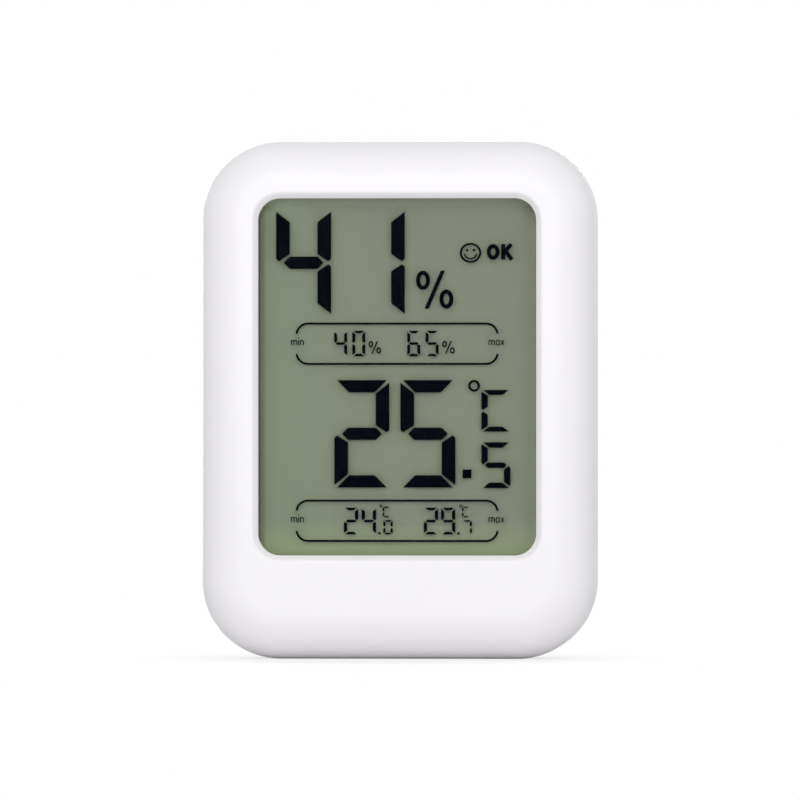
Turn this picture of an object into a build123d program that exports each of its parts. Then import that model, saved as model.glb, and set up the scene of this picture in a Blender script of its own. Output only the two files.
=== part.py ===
from build123d import *
from math import cos, radians, sin
import os

# A small digital thermometer and hygrometer. +Z is up and the display faces -Y.
# The origin is on the table under the middle of the case. All lengths are in millimetres.

# Case
case_width = 57.0
case_height = 75.0
case_depth = 18.0
corner_radius = 11.3
front_round = 6.4
rear_round = 2.5
wall = 1.8
front_wall = 2.0
rear_wall = 1.8
front_shell_share = 0.5
tongue_wall = 0.8
tongue_height = 1.2
parting_chamfer = 0.25

# Clearances
fit_gap = 0.1
part_gap = 0.2
running_gap = 0.05
bore_gap = 0.02
overrun = 2.0

# Display opening
side_border = 8.4
top_border = 8.43
window_bottom = 15.0
window_radius = 3.2
bevel = 0.76
bevel_round = 0.62

# Display cell
glass_margin = 1.5
glass_side_margin = 1.1
contact_ledge = 3.0
film_margin = 0.2
polariser_thickness = 0.2
glass_thickness = 0.7
cell_gap = 0.14
reflector_thickness = 0.22
layer_gap = 0.02
seal_width = 0.4

# Points, rings, lettering and lines drawn in the cell, and how far the drawn area reaches
# under each side of the opening and stands off its middle
print_lap = 0.1
print_shift = -0.12
point_size = 1.28
limit_point_size = 0.32
degree_radius = 0.86
degree_line = 0.34
limit_degree_radius = 0.22
limit_degree_line = 0.13
face_radius = 1.55
face_tall = 1.44
face_line = 0.29
eye_radius = 0.19
word_height = 2.26
word_line = 0.58
label_height = 0.72
label_line = 0.13
frame_corner = 1.8
frame_line = 0.3

# Display frame and contact strip
frame_rail = 0.9
crossbar_thickness = 1.4
lower_crossbar = 5.3
upper_crossbar = 4.3
strip_end_margin = 3.2
strip_thickness = 2.0
strip_edge = 0.3

# Circuit board
board_thickness = 1.2
board_bottom = 8.5
board_bay_gap = 1.9
board_corner = 3.0
board_side_gap = 0.9

# Screws and their posts
post_radius = 2.2
post_bite = 0.3
case_screw_drop = 15.0
case_post_radius = 3.0
case_screw_sink = 5.3
case_head_radius = 1.8
case_head_height = 1.3
case_shank_radius = 0.95
case_shank_end = 2.4
board_screw_rise = 3.5
board_screw_drop = 4.5
board_head_radius = 1.5
board_head_height = 1.1
board_shank_radius = 0.75
board_shank_length = 3.9
screw_end_gap = 0.4
cross_width = 0.45
cross_length = 2.0
cross_depth = 0.7
head_edge = 0.3

# Parts on the board, their places as shares of the board's height
chip_radius = 4.6
chip_height = 1.3
chip_share = 0.569
crystal_radius = 1.0
crystal_length = 6.0
crystal_x = -9.0
crystal_share = 0.8793
chip_part_length = 1.6
chip_part_width = 0.8
capacitor_height = 0.8
resistor_height = 0.45
capacitor_row_share = 0.2931
resistor_row_share = 0.1724
chip_part_pitch = 2.9
filter_radius = 2.0
filter_top_gap = 2.1
filter_bead = 0.25
filter_bead_height = 0.9
filter_x = 8.5
filter_share = 0.8276
sensor_share = 0.1793
humidity_width = 6.0
humidity_height = 5.4
humidity_thickness = 2.6
humidity_hole = 0.4
humidity_hole_pitch = 1.4
humidity_hole_depth = 0.5
bead_radius = 1.1
bead_lead_radius = 0.22
bead_lead_length = 3.0
bead_lead_spread = 1.1

# Buttons and the switches that they press, above the vents and the sensors
side_share = 0.289474
button_share = 0.6552
button_radius = 3.0
button_bore_gap = 0.08
button_flange = 0.9
button_flange_thickness = 0.7
button_stem_radius = 1.5
button_travel = 0.4
button_sink = 0.1
button_edge = 0.3
collar_wall = 1.1
collar_depth = 1.0
switch_size = 4.5
switch_height = 2.6
plunger_radius = 1.1
plunger_height = 1.1
plunger_sunk = 1.1

# Battery bay, an AAA cell and its contacts
cell_end_room = 4.5
nub_radius = 1.9
nub_length = 1.1
sleeve_thickness = 0.15
sleeve_lap = 0.5
bay_wall = 1.0
bay_side_room = 4.0
bay_share = 0.613333
bay_slack = 0.35
contact_thickness = 0.4
contact_rim = 0.45
contact_side_rim = 1.25
dimple_height = 0.4
dimple_radius = 1.4
tail_width = 2.0
tail_length = 1.4
spring_wide_radius = 2.9
spring_narrow_radius = 2.1
wire_radius = 0.4
wire_drop = 2.8
wire_reach = 3.7
wire_bend_share = 0.45

# Battery door
door_end_lap = 0.5
door_thickness = 1.2
door_rebate_lap = 0.8
door_top_lap = 1.8
door_bottom_lap = 1.6
door_corner = 1.0
door_sink = 0.05
door_pin_radius = 0.5
door_pin_length = 0.9
door_rib_thickness = 1.2
door_rib_share = 0.25
door_rib_depth = 0.75
door_rib_height = 7.0
latch_width = 8.0
latch_length = 4.4
latch_slit = 0.6
grip_radius = 0.35
grip_pitch = 1.1
grip_count = 3
nail_notch_height = 1.9
nail_notch_depth = 1.0
nail_notch_round = 1.4

# Stand
stand_button_gap = 0.9
stand_thickness = 2.4
stand_barrel = 1.5
stand_pin_radius = 0.7
stand_door_gap = 6.2
stand_foot_z = 0.8
stand_side_gap = 0.3
stand_sink = 0.1
stand_open_degrees = 35.0
stand_heel_inner = 0.75
stand_heel_outer = 1.0
stand_floor_gap = 0.2
stand_wall = 1.4
stand_panel_margin = 2.6
stand_panel_depth = 0.4
stand_panel_bottom = 8.0
stand_panel_corner = 1.5
stand_grip_radius = 1.2
stand_grip_z = 4.2
stand_grip_depth = 0.6

# Keyhole, magnets and vents
keyhole_head_radius = 3.9
keyhole_slot_radius = 2.15
keyhole_rise = 7.1
keyhole_drop = 8.5
keyhole_depth = 5.2
keyhole_pocket_margin = 0.475
keyhole_wall = 1.0
magnet_radius = 4.0
magnet_thickness = 2.0
magnet_share = 0.254386
magnet_drop = 11.5
magnet_skin = 1.0
magnet_ring_wall = 0.9
magnet_ring_height = 0.8
vent_count = 5
vent_pitch_share = 0.13684
vent_first_z = 8.5
vent_width = 1.3
vent_length = 7.6

# Places from front to back
front_face = -case_depth / 2
rear_face = case_depth / 2
parting = front_face + front_shell_share * case_depth
rear_inner = rear_face - rear_wall
display_front = front_face + front_wall
polariser_back = display_front + polariser_thickness
front_glass_front = polariser_back + layer_gap
front_glass_back = front_glass_front + glass_thickness
cell_back = front_glass_back + cell_gap
rear_glass_back = cell_back + glass_thickness
reflector_front = rear_glass_back + layer_gap
display_back = reflector_front + reflector_thickness
board_front = display_back + crossbar_thickness
board_back = board_front + board_thickness

# Places of the display cell, which is longer than the opening at the foot
window_width = case_width - 2 * side_border
print_width = window_width + 2 * print_lap
window_top = case_height - top_border
window_height = window_top - window_bottom
glass_width = window_width + 2 * glass_side_margin
glass_top = window_top + glass_margin
rear_glass_bottom = window_bottom - glass_margin
front_glass_bottom = rear_glass_bottom - contact_ledge
frame_half = glass_width / 2 + part_gap + frame_rail
frame_bottom = front_glass_bottom - part_gap - frame_rail
frame_top = glass_top + part_gap + frame_rail
strip_width = glass_width - 2 * strip_end_margin

# Places of the door, seen from behind, and of the battery bay under it
door_outer = rear_face - door_sink
door_inner = door_outer - door_thickness
bay_front = display_back + part_gap + fit_gap
bay_floor = bay_front + bay_wall
cell_radius = (door_inner - bay_floor - door_rib_depth) / 2 - fit_gap
cell_y = bay_floor + fit_gap + cell_radius
bay_centre_z = bay_share * case_height
bay_bottom = bay_centre_z - cell_radius - bay_slack
bay_top = bay_centre_z + cell_radius + bay_slack
bay_length = case_width - 2 * bay_side_room
bay_half = bay_length / 2
cell_length = bay_length - cell_end_room
contact_outer = bay_half - fit_gap
contact_inner = contact_outer - contact_thickness
contact_height = 2 * (cell_radius - contact_rim)
contact_depth = 2 * (cell_radius - contact_side_rim)
cell_plus_x = contact_inner - dimple_height
cell_minus_x = cell_plus_x - cell_length
door_length = bay_length - 2 * door_end_lap
door_half = door_length / 2
door_rib_x = door_rib_share * door_length
door_bottom = bay_bottom - door_bottom_lap
door_top = bay_top + door_top_lap
door_axis_y = (door_outer + door_inner) / 2
door_axis_z = door_bottom + door_thickness / 2

# Places of the board, of the parts on it and of the screws
board_half = case_width / 2 - wall - board_side_gap
board_top = bay_bottom - bay_wall - board_bay_gap
board_height = board_top - board_bottom
side_x = side_share * case_width
button_z = board_bottom + button_share * board_height
sensor_z = board_bottom + sensor_share * board_height
chip_z = board_bottom + chip_share * board_height
crystal_z = board_bottom + crystal_share * board_height
filter_z = board_bottom + filter_share * board_height
capacitor_row_z = board_bottom + capacitor_row_share * board_height
resistor_row_z = board_bottom + resistor_row_share * board_height
vent_pitch = vent_pitch_share * (button_z - vent_first_z)
post_x = case_width / 2 - wall - post_radius + post_bite
board_screw_heights = (board_bottom + board_screw_rise, board_top - board_screw_drop)
case_screw_heights = (sum(board_screw_heights) / 2, case_height - case_screw_drop)
case_seat = rear_face - case_screw_sink
case_shank_length = case_seat - display_front - case_shank_end

# Places of the stand
stand_width = 2 * (side_x - button_radius - button_flange - stand_wall - stand_side_gap
                   - stand_button_gap)
stand_outer = rear_face - stand_sink
stand_axis_y = stand_outer - stand_barrel
stand_axis_z = door_bottom - stand_door_gap
stand_floor = stand_axis_y - stand_barrel - stand_floor_gap
stand_turn = radians(stand_open_degrees)
stand_heel_drop = stand_axis_y - stand_floor - running_gap - stand_heel_inner * cos(stand_turn)
stand_heel_top = stand_heel_drop / sin(stand_turn)
stand_heel_reach = (stand_heel_top**2 + stand_heel_outer**2) ** 0.5
stand_recess_half = stand_width / 2 + stand_side_gap
stand_recess_top = stand_axis_z + stand_heel_reach + part_gap
filter_height = stand_floor - stand_wall - board_back - filter_top_gap

# Places of the keyhole and the magnets
keyhole_floor = rear_face - keyhole_depth
keyhole_pocket_radius = keyhole_head_radius + keyhole_pocket_margin
keyhole_head_z = door_top + keyhole_rise
keyhole_slot_z = case_height - keyhole_drop
magnet_x = magnet_share * case_width
magnet_z = case_height - magnet_drop

both_sides = (-1, 1)
quarter = 90


def slab(profile, front, rear):
    """A profile drawn in x and z, made solid between two places along y."""
    return extrude(Plane.XZ.offset(-rear) * profile, rear - front)


def block(x, y, z):
    """A box between two places along each axis."""
    size = [span[1] - span[0] for span in (x, y, z)]
    middle = [(span[1] + span[0]) / 2 for span in (x, y, z)]
    return Pos(*middle) * Box(*size)


def disc(x, z, radius, front, rear):
    """A round bar along y."""
    return slab(Pos(x, z) * Circle(radius), front, rear)


def rod(y, z, radius, left, right):
    """A round bar along x."""
    return Pos((left + right) / 2, y, z) * Rot(0, quarter, 0) * Cylinder(radius, right - left)


def rounded(width, bottom, top, radius):
    """A rectangle with round corners, centred in x."""
    return Pos(0, (bottom + top) / 2) * RectangleRounded(width, top - bottom, radius)


def case_plan(inset=0.0):
    """The case's outline from the front, drawn in by inset."""
    return rounded(case_width - 2 * inset, inset, case_height - inset, corner_radius - inset)


def case_block():
    """The whole case as one solid, with its pillow edge in front and a small round behind."""
    whole = slab(case_plan(), front_face, rear_face)
    whole = fillet(whole.faces().sort_by(Axis.Y)[0].edges(), front_round)
    return fillet(whole.faces().sort_by(Axis.Y)[-1].edges(), rear_round)


def front_hollow():
    """The room inside the front shell."""
    room = slab(case_plan(wall), display_front, parting)
    return fillet(room.faces().sort_by(Axis.Y)[0].edges(), front_round - front_wall)


def rear_hollow():
    """The room inside the rear shell."""
    room = slab(case_plan(wall), parting, rear_inner)
    return fillet(room.faces().sort_by(Axis.Y)[-1].edges(), rear_round - rear_wall)


def tongue_ring(gap):
    """The band where the rear shell's tongue sits inside the front shell, widened by gap."""
    outer = slab(case_plan(wall - tongue_wall - gap), parting - tongue_height - gap, parting)
    return outer - slab(case_plan(wall), parting - tongue_height - overrun, parting)


def screw(x, z, seat, head_radius, head_height, shank_radius, shank_length):
    """A cross-head screw driven from behind."""
    body = disc(x, z, head_radius, seat, seat + head_height)
    body = fillet(body.faces().sort_by(Axis.Y)[-1].edges(), head_edge)
    body += disc(x, z, shank_radius, seat - shank_length, seat)
    top = (seat + head_height - cross_depth, seat + head_height + overrun)
    half_width, half_length = cross_width / 2, cross_length / 2
    body -= block((x - half_length, x + half_length), top, (z - half_width, z + half_width))
    body -= block((x - half_width, x + half_width), top, (z - half_length, z + half_length))
    return body


def front_shell():
    """Pillow-edged front with the bevelled opening and eight screw posts."""
    room = front_hollow()
    shell = (case_block() & slab(case_plan(), front_face, parting)) - room
    rim = shell.faces().filter_by(Plane.XZ).sort_by(Axis.Y)[-1]
    shell = chamfer(rim.outer_wire().edges(), parting_chamfer)
    posts = Part()
    for side in both_sides:
        for height in case_screw_heights:
            posts += disc(side * post_x, height, post_radius, display_front, parting)
        for height in board_screw_heights:
            posts += disc(side * post_x, height, post_radius, display_front, display_back)
    shell += posts & room
    shell -= slab(rounded(2 * frame_half + part_gap, frame_bottom - fit_gap, frame_top + fit_gap,
                          frame_rail), display_front, board_front)
    shell -= slab(rounded(window_width, window_bottom, window_top, window_radius),
                  front_face - overrun, display_front + overrun)
    face = shell.faces().filter_by(Plane.XZ).sort_by(Axis.Y)[0]
    shell = chamfer(face.inner_wires()[0].edges(), bevel)
    face = shell.faces().filter_by(Plane.XZ).sort_by(Axis.Y)[0]
    shell = fillet(face.inner_wires()[0].edges(), bevel_round)
    shell -= tongue_ring(fit_gap)
    for side in both_sides:
        for height in case_screw_heights:
            end = case_seat - case_shank_length - screw_end_gap
            shell -= disc(side * post_x, height, case_shank_radius + bore_gap, end, parting)
        for height in board_screw_heights:
            end = board_back - board_shank_length - screw_end_gap
            shell -= disc(side * post_x, height, board_shank_radius + bore_gap, end, display_back)
    return shell


def plate(bottom, front, rear, margin=0.0):
    """One layer of the display cell."""
    return block((margin - glass_width / 2, glass_width / 2 - margin), (front, rear),
                 (bottom + margin, glass_top - margin))


def display_seal():
    """The glued edge between the two glasses."""
    ring = plate(rear_glass_bottom, front_glass_back, cell_back)
    return ring - plate(rear_glass_bottom, front_glass_back - overrun, cell_back + overrun,
                        seal_width)


# Width and height of each kind of figure, as shares of the opening's
digit_size_shares = (0.1968, 0.301)
tenths_size_shares = (0.1038, 0.1283)
letter_c_size_shares = (0.1038, 0.1167)
damp_size_shares = (0.0462, 0.0715)
warm_size_shares = (0.0514, 0.0751)
warm_tenths_size_shares = (0.0338, 0.0402)
warm_c_size_shares = (0.027, 0.0301)
percent_size_shares = (0.134, 0.1067)
damp_percent_size_shares = (0.0452, 0.0357)
frame_size_shares = (0.7277, 0.1187)
frame_opening_share = 0.475

# Shares of a figure: upright bars and gaps of its width, level bars of its height
digit_bar_shares = (0.248, 0.1145, 0.041)
tenths_bar_shares = (0.2215, 0.12, 0.047)
limit_bar_shares = (0.23, 0.1, 0.075)
warm_tenths_bar_shares = (0.235, 0.13, 0.08)
slant_share = 0.22
cut_share = 0.1
corner_gap_share = 1.15
tip_gap_share = 0.62

# Shares of a percent sign's width and height
percent_ring_share = 0.188
percent_tall_share = 0.2524
percent_line_share = 0.112
percent_slash_shares = ((0.228, 0.0), (0.34, 0.0), (0.772, 1.0), (0.66, 1.0))

# Shares of the comfort face's radius, and of its line
eye_share = 0.32
eye_rise_share = 0.27
smile_shares = ((-0.56, -0.1), (0, -0.6), (0.56, -0.1))
smile_line_share = 0.75

# Places in the opening, as shares of its width from the left and of its height from the foot
large_shares = (("4", 0.067, 0.6696), ("1", 0.331, 0.6696), ("2", 0.2757, 0.1901),
                ("5", 0.5122, 0.1901))
tenths_share = (0.8021, 0.1887)
letter_c_share = (0.8021, 0.3469)
point_share = (0.7349, 0.216)
degree_share = (0.7761, 0.475)
percent_share = (0.568, 0.6911)
face_share = (0.7633, 0.8476)
word_share = (0.8286, 0.8283)
upper_frame_share = 0.593
lower_frame_share = 0.0969
frame_centre_share = 0.5
damp_shares = (("4", 0.275, 0.5579), ("0", 0.34, 0.5579), ("6", 0.5367, 0.5579),
               ("5", 0.6027, 0.5579))
damp_percent_shares = ((0.3978, 0.5651), (0.6617, 0.5651))
warm_shares = (("2", 0.3096, 0.0587), ("4", 0.3735, 0.0587), ("2", 0.5958, 0.0587),
               ("9", 0.6574, 0.0587))
warm_tenths_shares = (("0", 0.451, 0.0587), ("7", 0.7345, 0.0587))
warm_c_shares = ((0.4485, 0.1067), (0.7326, 0.1067))
warm_point_shares = ((0.4369, 0.0587), (0.7203, 0.0587))
warm_degree_shares = ((0.442, 0.1385), (0.728, 0.1385))
label_shares = (("min", 0.1215), ("max", 0.829))
label_rise_share = 0.003

# Which bars of a seven-bar figure are dark
lit_bars = {"0": "abcdef", "1": "bc", "2": "abged", "4": "fgbc", "5": "afgcd", "6": "afgedc",
            "7": "abc", "9": "abfgcd", "C": "afed"}

# Pen strokes of each small letter, as shares of its height
stroke_shares = {
    "m": (((0, 0), (0, 1)), ((0, 0.75), (0.2, 0.97), (0.42, 0.97), (0.55, 0.75), (0.55, 0)),
          ((0.55, 0.75), (0.75, 0.97), (0.97, 0.97), (1.1, 0.75), (1.1, 0))),
    "i": (((0, 0), (0, 1)),),
    "n": (((0, 0), (0, 1)), ((0, 0.75), (0.2, 0.97), (0.45, 0.97), (0.6, 0.75), (0.6, 0))),
    "a": (((0.6, 1), (0.6, 0)), ((0.6, 0.85), (0.4, 1), (0.18, 1), (0, 0.72), (0, 0.28),
                                 (0.18, 0), (0.4, 0), (0.6, 0.15))),
    "x": (((0, 0), (0.62, 1)), ((0, 1), (0.62, 0))),
    "K": (((0, 0), (0, 1)), ((0.52, 1), (0.06, 0.46)), ((0.14, 0.55), (0.56, 0))),
}
letter_width_shares = {"m": 1.1, "i": 0.0, "n": 0.6, "a": 0.6, "x": 0.62, "K": 0.56, "O": 0.56}
letter_gap_share = 0.36
dot_rise_share = 1.45
dot_share = 0.65


def display_x(share):
    return share * print_width - print_width / 2 + print_shift


def display_z(share):
    return window_bottom + share * window_height


def display_size(size_shares):
    return size_shares[0] * print_width, size_shares[1] * window_height


def figure(sign, x, z, size_shares, bar_shares):
    """The dark bars of one seven-bar figure, each a profile of its own."""
    width, height = display_size(size_shares)
    upright, gap, bar = bar_shares[0] * width, bar_shares[2] * width, bar_shares[1] * height
    slant, cut = slant_share * width, cut_share * height
    near, tip = corner_gap_share * gap, tip_gap_share * gap
    middle, half = height / 2, bar / 2
    top_bar = [(near, height), (width - near, height), (width - near - slant, height - bar),
               (near + slant, height - bar)]
    upper_right = [(width, height - near), (width - upright, height - near - cut),
                   (width - upright, middle + near + half), (width - 2 * tip, middle + tip),
                   (width, middle + tip + near)]
    middle_bar = [(upright - half, middle), (upright, middle + half),
                  (width - upright, middle + half), (width - upright + half, middle),
                  (width - upright, middle - half), (upright, middle - half)]

    def over(points):
        return [(point_x, height - point_z) for point_x, point_z in points]

    def across(points):
        return [(width - point_x, point_z) for point_x, point_z in points]

    shapes = {"a": top_bar, "b": upper_right, "c": over(upper_right), "d": over(top_bar),
              "e": across(over(upper_right)), "f": across(upper_right), "g": middle_bar}
    return [Pos(display_x(x), display_z(z)) * make_face(Polyline(*shapes[name], close=True))
            for name in lit_bars[sign]]


def oval(x, z, radius, tall, line):
    """A round or upright oval ring, measured to its outer edge."""
    return Pos(x, z) * (Ellipse(radius, tall) - Ellipse(radius - line, tall - line))


def percent(x, z, size_shares):
    """A percent sign: two oval rings and a slanted bar."""
    left, bottom = display_x(x), display_z(z)
    width, height = display_size(size_shares)
    radius, tall = percent_ring_share * width, percent_tall_share * height
    line = percent_line_share * width
    slash = [(left + width * share_x, bottom + height * share_z)
             for share_x, share_z in percent_slash_shares]
    return [oval(left + radius, bottom + height - tall, radius, tall, line),
            oval(left + width - radius, bottom + tall, radius, tall, line),
            make_face(Polyline(*slash, close=True))]


def lettering(word, left, bottom, height, line):
    """A short word drawn with a pen of one width."""
    drawn = []
    for letter in word:
        width = letter_width_shares[letter] * height
        if letter == "O":
            drawn.append(oval(left + width / 2, bottom + height / 2, (width + line) / 2,
                              height / 2, line))
            left += width + letter_gap_share * height
            continue
        glyph = Sketch()
        for stroke in stroke_shares[letter]:
            points = [(left + x * height, bottom + z * height) for x, z in stroke]
            glyph += trace(Polyline(*points), line_width=line)
        drawn.append(glyph)
        if letter == "i":
            drawn.append(Pos(left, bottom + dot_rise_share * height) * Circle(line * dot_share))
        left += width + letter_gap_share * height
    return drawn


def in_cell(profiles):
    """Profiles as thin solids in the gap between the two glasses."""
    return Part() + [slab(profile, front_glass_back + layer_gap, cell_back - layer_gap)
                     for profile in profiles]


def digits_large():
    """The humidity in two figures, and the temperature in two, a point and a smaller third."""
    shapes = []
    for sign, x, z in large_shares:
        shapes += figure(sign, x, z, digit_size_shares, digit_bar_shares)
    shapes += figure("5", *tenths_share, tenths_size_shares, tenths_bar_shares)
    x, z = point_share
    shapes.append(Pos(display_x(x) + point_size / 2, display_z(z) + point_size / 2)
                  * Rectangle(point_size, point_size))
    return in_cell(shapes)


def digits_small():
    """The lowest and highest readings."""
    shapes = []
    for sign, x, z in damp_shares:
        shapes += figure(sign, x, z, damp_size_shares, limit_bar_shares)
    for sign, x, z in warm_shares:
        shapes += figure(sign, x, z, warm_size_shares, limit_bar_shares)
    for sign, x, z in warm_tenths_shares:
        shapes += figure(sign, x, z, warm_tenths_size_shares, warm_tenths_bar_shares)
    for x, z in warm_point_shares:
        shapes.append(Pos(display_x(x), display_z(z) + limit_point_size / 2)
                      * Rectangle(limit_point_size, limit_point_size))
    return in_cell(shapes)


def reading_frame(centre_z):
    """The line round a pair of limits: a pill that is open at its two ends."""
    width, height = display_size(frame_size_shares)
    pill = RectangleRounded(width, height, frame_corner)
    pill -= RectangleRounded(width - 2 * frame_line, height - 2 * frame_line,
                             frame_corner - frame_line)
    pill -= Rectangle(width + overrun, frame_opening_share * height)
    return [Pos(display_x(frame_centre_share), centre_z) * half for half in pill.faces()]


def comfort_face():
    """An oval ring with two dots and an arc."""
    x, z = display_x(face_share[0]), display_z(face_share[1])
    smile = [(x + share_x * face_radius, z + share_z * face_tall)
             for share_x, share_z in smile_shares]
    eyes = [Pos(x + side * face_radius * eye_share, z + face_tall * eye_rise_share)
            * Circle(eye_radius) for side in both_sides]
    return [oval(x, z, face_radius, face_tall, face_line), *eyes,
            trace(ThreePointArc(*smile), line_width=face_line * smile_line_share)]


def display_marks():
    """Percent and degree signs, letter C, frames, labels and the comfort face."""
    shapes = percent(*percent_share, percent_size_shares)
    for x, z in damp_percent_shares:
        shapes += percent(x, z, damp_percent_size_shares)
    x, z = degree_share
    shapes.append(oval(display_x(x), display_z(z), degree_radius, degree_radius, degree_line))
    for x, z in warm_degree_shares:
        shapes.append(oval(display_x(x), display_z(z), limit_degree_radius, limit_degree_radius,
                           limit_degree_line))
    shapes += figure("C", *letter_c_share, letter_c_size_shares, tenths_bar_shares)
    for x, z in warm_c_shares:
        shapes += figure("C", x, z, warm_c_size_shares, warm_tenths_bar_shares)
    shapes += comfort_face()
    x, z = word_share
    shapes += lettering("OK", display_x(x), display_z(z), word_height, word_line)
    for share in (upper_frame_share, lower_frame_share):
        centre = display_z(share)
        shapes += reading_frame(centre)
        for word, x in label_shares:
            shapes += lettering(word, display_x(x), centre - label_height / 2
                                + label_rise_share * window_height, label_height, label_line)
    return in_cell(shapes)


def display_frame():
    """Plastic frame round the display cell, with two bars behind it and four screwed ears."""
    outer = slab(rounded(2 * frame_half, frame_bottom, frame_top, frame_rail), display_front,
                 board_front)
    for side in both_sides:
        for height in board_screw_heights:
            ear = disc(side * post_x, height, post_radius - part_gap, display_back, board_front)
            inner_x, outer_x = sorted((side * (frame_half - frame_rail / 2), side * post_x))
            ear += block((inner_x, outer_x), (display_back, board_front),
                         (height - board_head_radius, height + board_head_radius))
            outer += ear & slab(case_plan(wall + board_side_gap), display_back, board_front)
    outer -= block((-glass_width / 2 - fit_gap, glass_width / 2 + fit_gap),
                   (display_front - overrun, display_back),
                   (front_glass_bottom - fit_gap, glass_top + fit_gap))
    outer -= block((-glass_width / 2 - fit_gap, glass_width / 2 + fit_gap),
                   (display_back - overrun, board_front + overrun),
                   (frame_bottom + lower_crossbar, frame_top - upper_crossbar))
    outer -= block((-case_width, case_width), (bay_front - fit_gap, board_front + overrun),
                   (bay_bottom - bay_wall - part_gap, bay_top + bay_wall + part_gap))
    strip_bottom = front_glass_bottom + strip_edge
    outer -= block((-strip_width / 2 - fit_gap, strip_width / 2 + fit_gap),
                   (display_back - overrun, board_front + overrun),
                   (strip_bottom - fit_gap, strip_bottom + strip_thickness + fit_gap))
    for side in both_sides:
        for height in board_screw_heights:
            outer -= disc(side * post_x, height, board_shank_radius + fit_gap,
                          display_back - overrun, board_front + overrun)
    return outer


def contact_strip():
    """Striped rubber that joins the cell's contacts to the board's."""
    bottom = front_glass_bottom + strip_edge
    return block((-strip_width / 2, strip_width / 2), (front_glass_back, board_front),
                 (bottom, bottom + strip_thickness))


def circuit_board():
    """Green board with screw holes, and notches for the two lower case posts."""
    board = slab(rounded(2 * board_half, board_bottom, board_top, board_corner), board_front,
                 board_back)
    through = (board_front - overrun, board_back + overrun)
    for side in both_sides:
        for height in board_screw_heights:
            board -= disc(side * post_x, height, board_shank_radius + fit_gap, *through)
        board -= disc(side * post_x, case_screw_heights[0], case_post_radius + part_gap, *through)
        board -= block((side * post_x - post_radius, side * post_x + post_radius), through,
                       (case_screw_heights[0] - post_radius,
                        case_screw_heights[0] + post_radius))
    return board


def screws(heights, seat, *sizes):
    """A screw on each side at each height, as one group."""
    group = [screw(side * post_x, height, seat, *sizes)
             for side in both_sides for height in heights]
    return Part() + group


def chip_cover():
    """The drop of resin over the bare chip: the cap of a sphere."""
    radius = (chip_radius**2 + chip_height**2) / (2 * chip_height)
    rim, top = (chip_radius, 0), (0, chip_height)
    edges = Curve() + [Line((0, 0), rim), RadiusArc(rim, top, -radius), Line(top, (0, 0))]
    drop = revolve(make_face(edges), axis=Axis.Y)
    return Pos(0, board_back, chip_z) * drop


def crystal():
    """The watch crystal in its can, lying on a flat foot."""
    centre_y = board_back + crystal_radius
    can = rod(centre_y, crystal_z, crystal_radius, crystal_x, crystal_x + crystal_length)
    can += block((crystal_x, crystal_x + crystal_length / 2), (board_back, centre_y),
                 (crystal_z - crystal_radius / 2, crystal_z + crystal_radius / 2))
    return can


def chip_row(count, row_z, height):
    """A row of small surface-mounted blocks."""
    first = -chip_part_pitch * (count - 1) / 2
    blocks = []
    for index in range(count):
        x = first + index * chip_part_pitch
        blocks.append(block((x - chip_part_width / 2, x + chip_part_width / 2),
                            (board_back, board_back + height),
                            (row_z - chip_part_length / 2, row_z + chip_part_length / 2)))
    return Part() + blocks


def filter_capacitor():
    """A small can capacitor that stands on the board, beaded near its foot."""
    can = disc(filter_x, filter_z, filter_radius, board_back, board_back + filter_height)
    can = fillet(can.faces().sort_by(Axis.Y)[-1].edges(), filter_bead)
    bead = Pos(filter_x, board_back + filter_bead_height, filter_z) * Rot(quarter, 0, 0)
    return can - bead * Torus(filter_radius + filter_bead / 2, filter_bead)


def humidity_sensor():
    """A small block with a grid of breathing holes, behind the left vents."""
    top = board_back + humidity_thickness
    body = block((-side_x - humidity_width / 2, -side_x + humidity_width / 2),
                 (board_back, top),
                 (sensor_z - humidity_height / 2, sensor_z + humidity_height / 2))
    for column in (-1, 0, 1):
        for row in (-1, 0, 1):
            body -= disc(-side_x + column * humidity_hole_pitch,
                         sensor_z + row * humidity_hole_pitch, humidity_hole,
                         top - humidity_hole_depth, top + overrun)
    return body


def temperature_sensor():
    """A bead thermistor on two leads, behind the right vents."""
    tip = board_back + bead_lead_length
    body = Pos(side_x, tip, sensor_z) * Sphere(bead_radius)
    for side in both_sides:
        body += disc(side_x + side * bead_lead_spread / 2, sensor_z, bead_lead_radius,
                     board_back, tip)
    return body


def switch(side):
    """The body of a push switch on the board."""
    x, half = side * side_x, switch_size / 2
    top = board_back + switch_height
    body = block((x - half, x + half), (board_back, top), (button_z - half, button_z + half))
    depth = plunger_sunk + 2 * button_travel
    return body - disc(x, button_z, plunger_radius + fit_gap, top - depth, top + overrun)


def plunger(side):
    """The round plunger of a push switch."""
    top = board_back + switch_height
    return disc(side * side_x, button_z, plunger_radius, top - plunger_sunk,
                top + plunger_height)


def button(side):
    """A button with its flange under the case wall and a stem down to its switch."""
    x = side * side_x
    outer = rear_face - button_sink
    flange_back = rear_inner - collar_depth - fit_gap
    flange_front = flange_back - button_flange_thickness
    cap = disc(x, button_z, button_radius, flange_front, outer)
    cap = fillet(cap.faces().sort_by(Axis.Y)[-1].edges(), button_edge)
    cap += disc(x, button_z, button_radius + button_flange, flange_front, flange_back)
    return cap + disc(x, button_z, button_stem_radius,
                      board_back + switch_height + plunger_height, flange_front)


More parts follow.
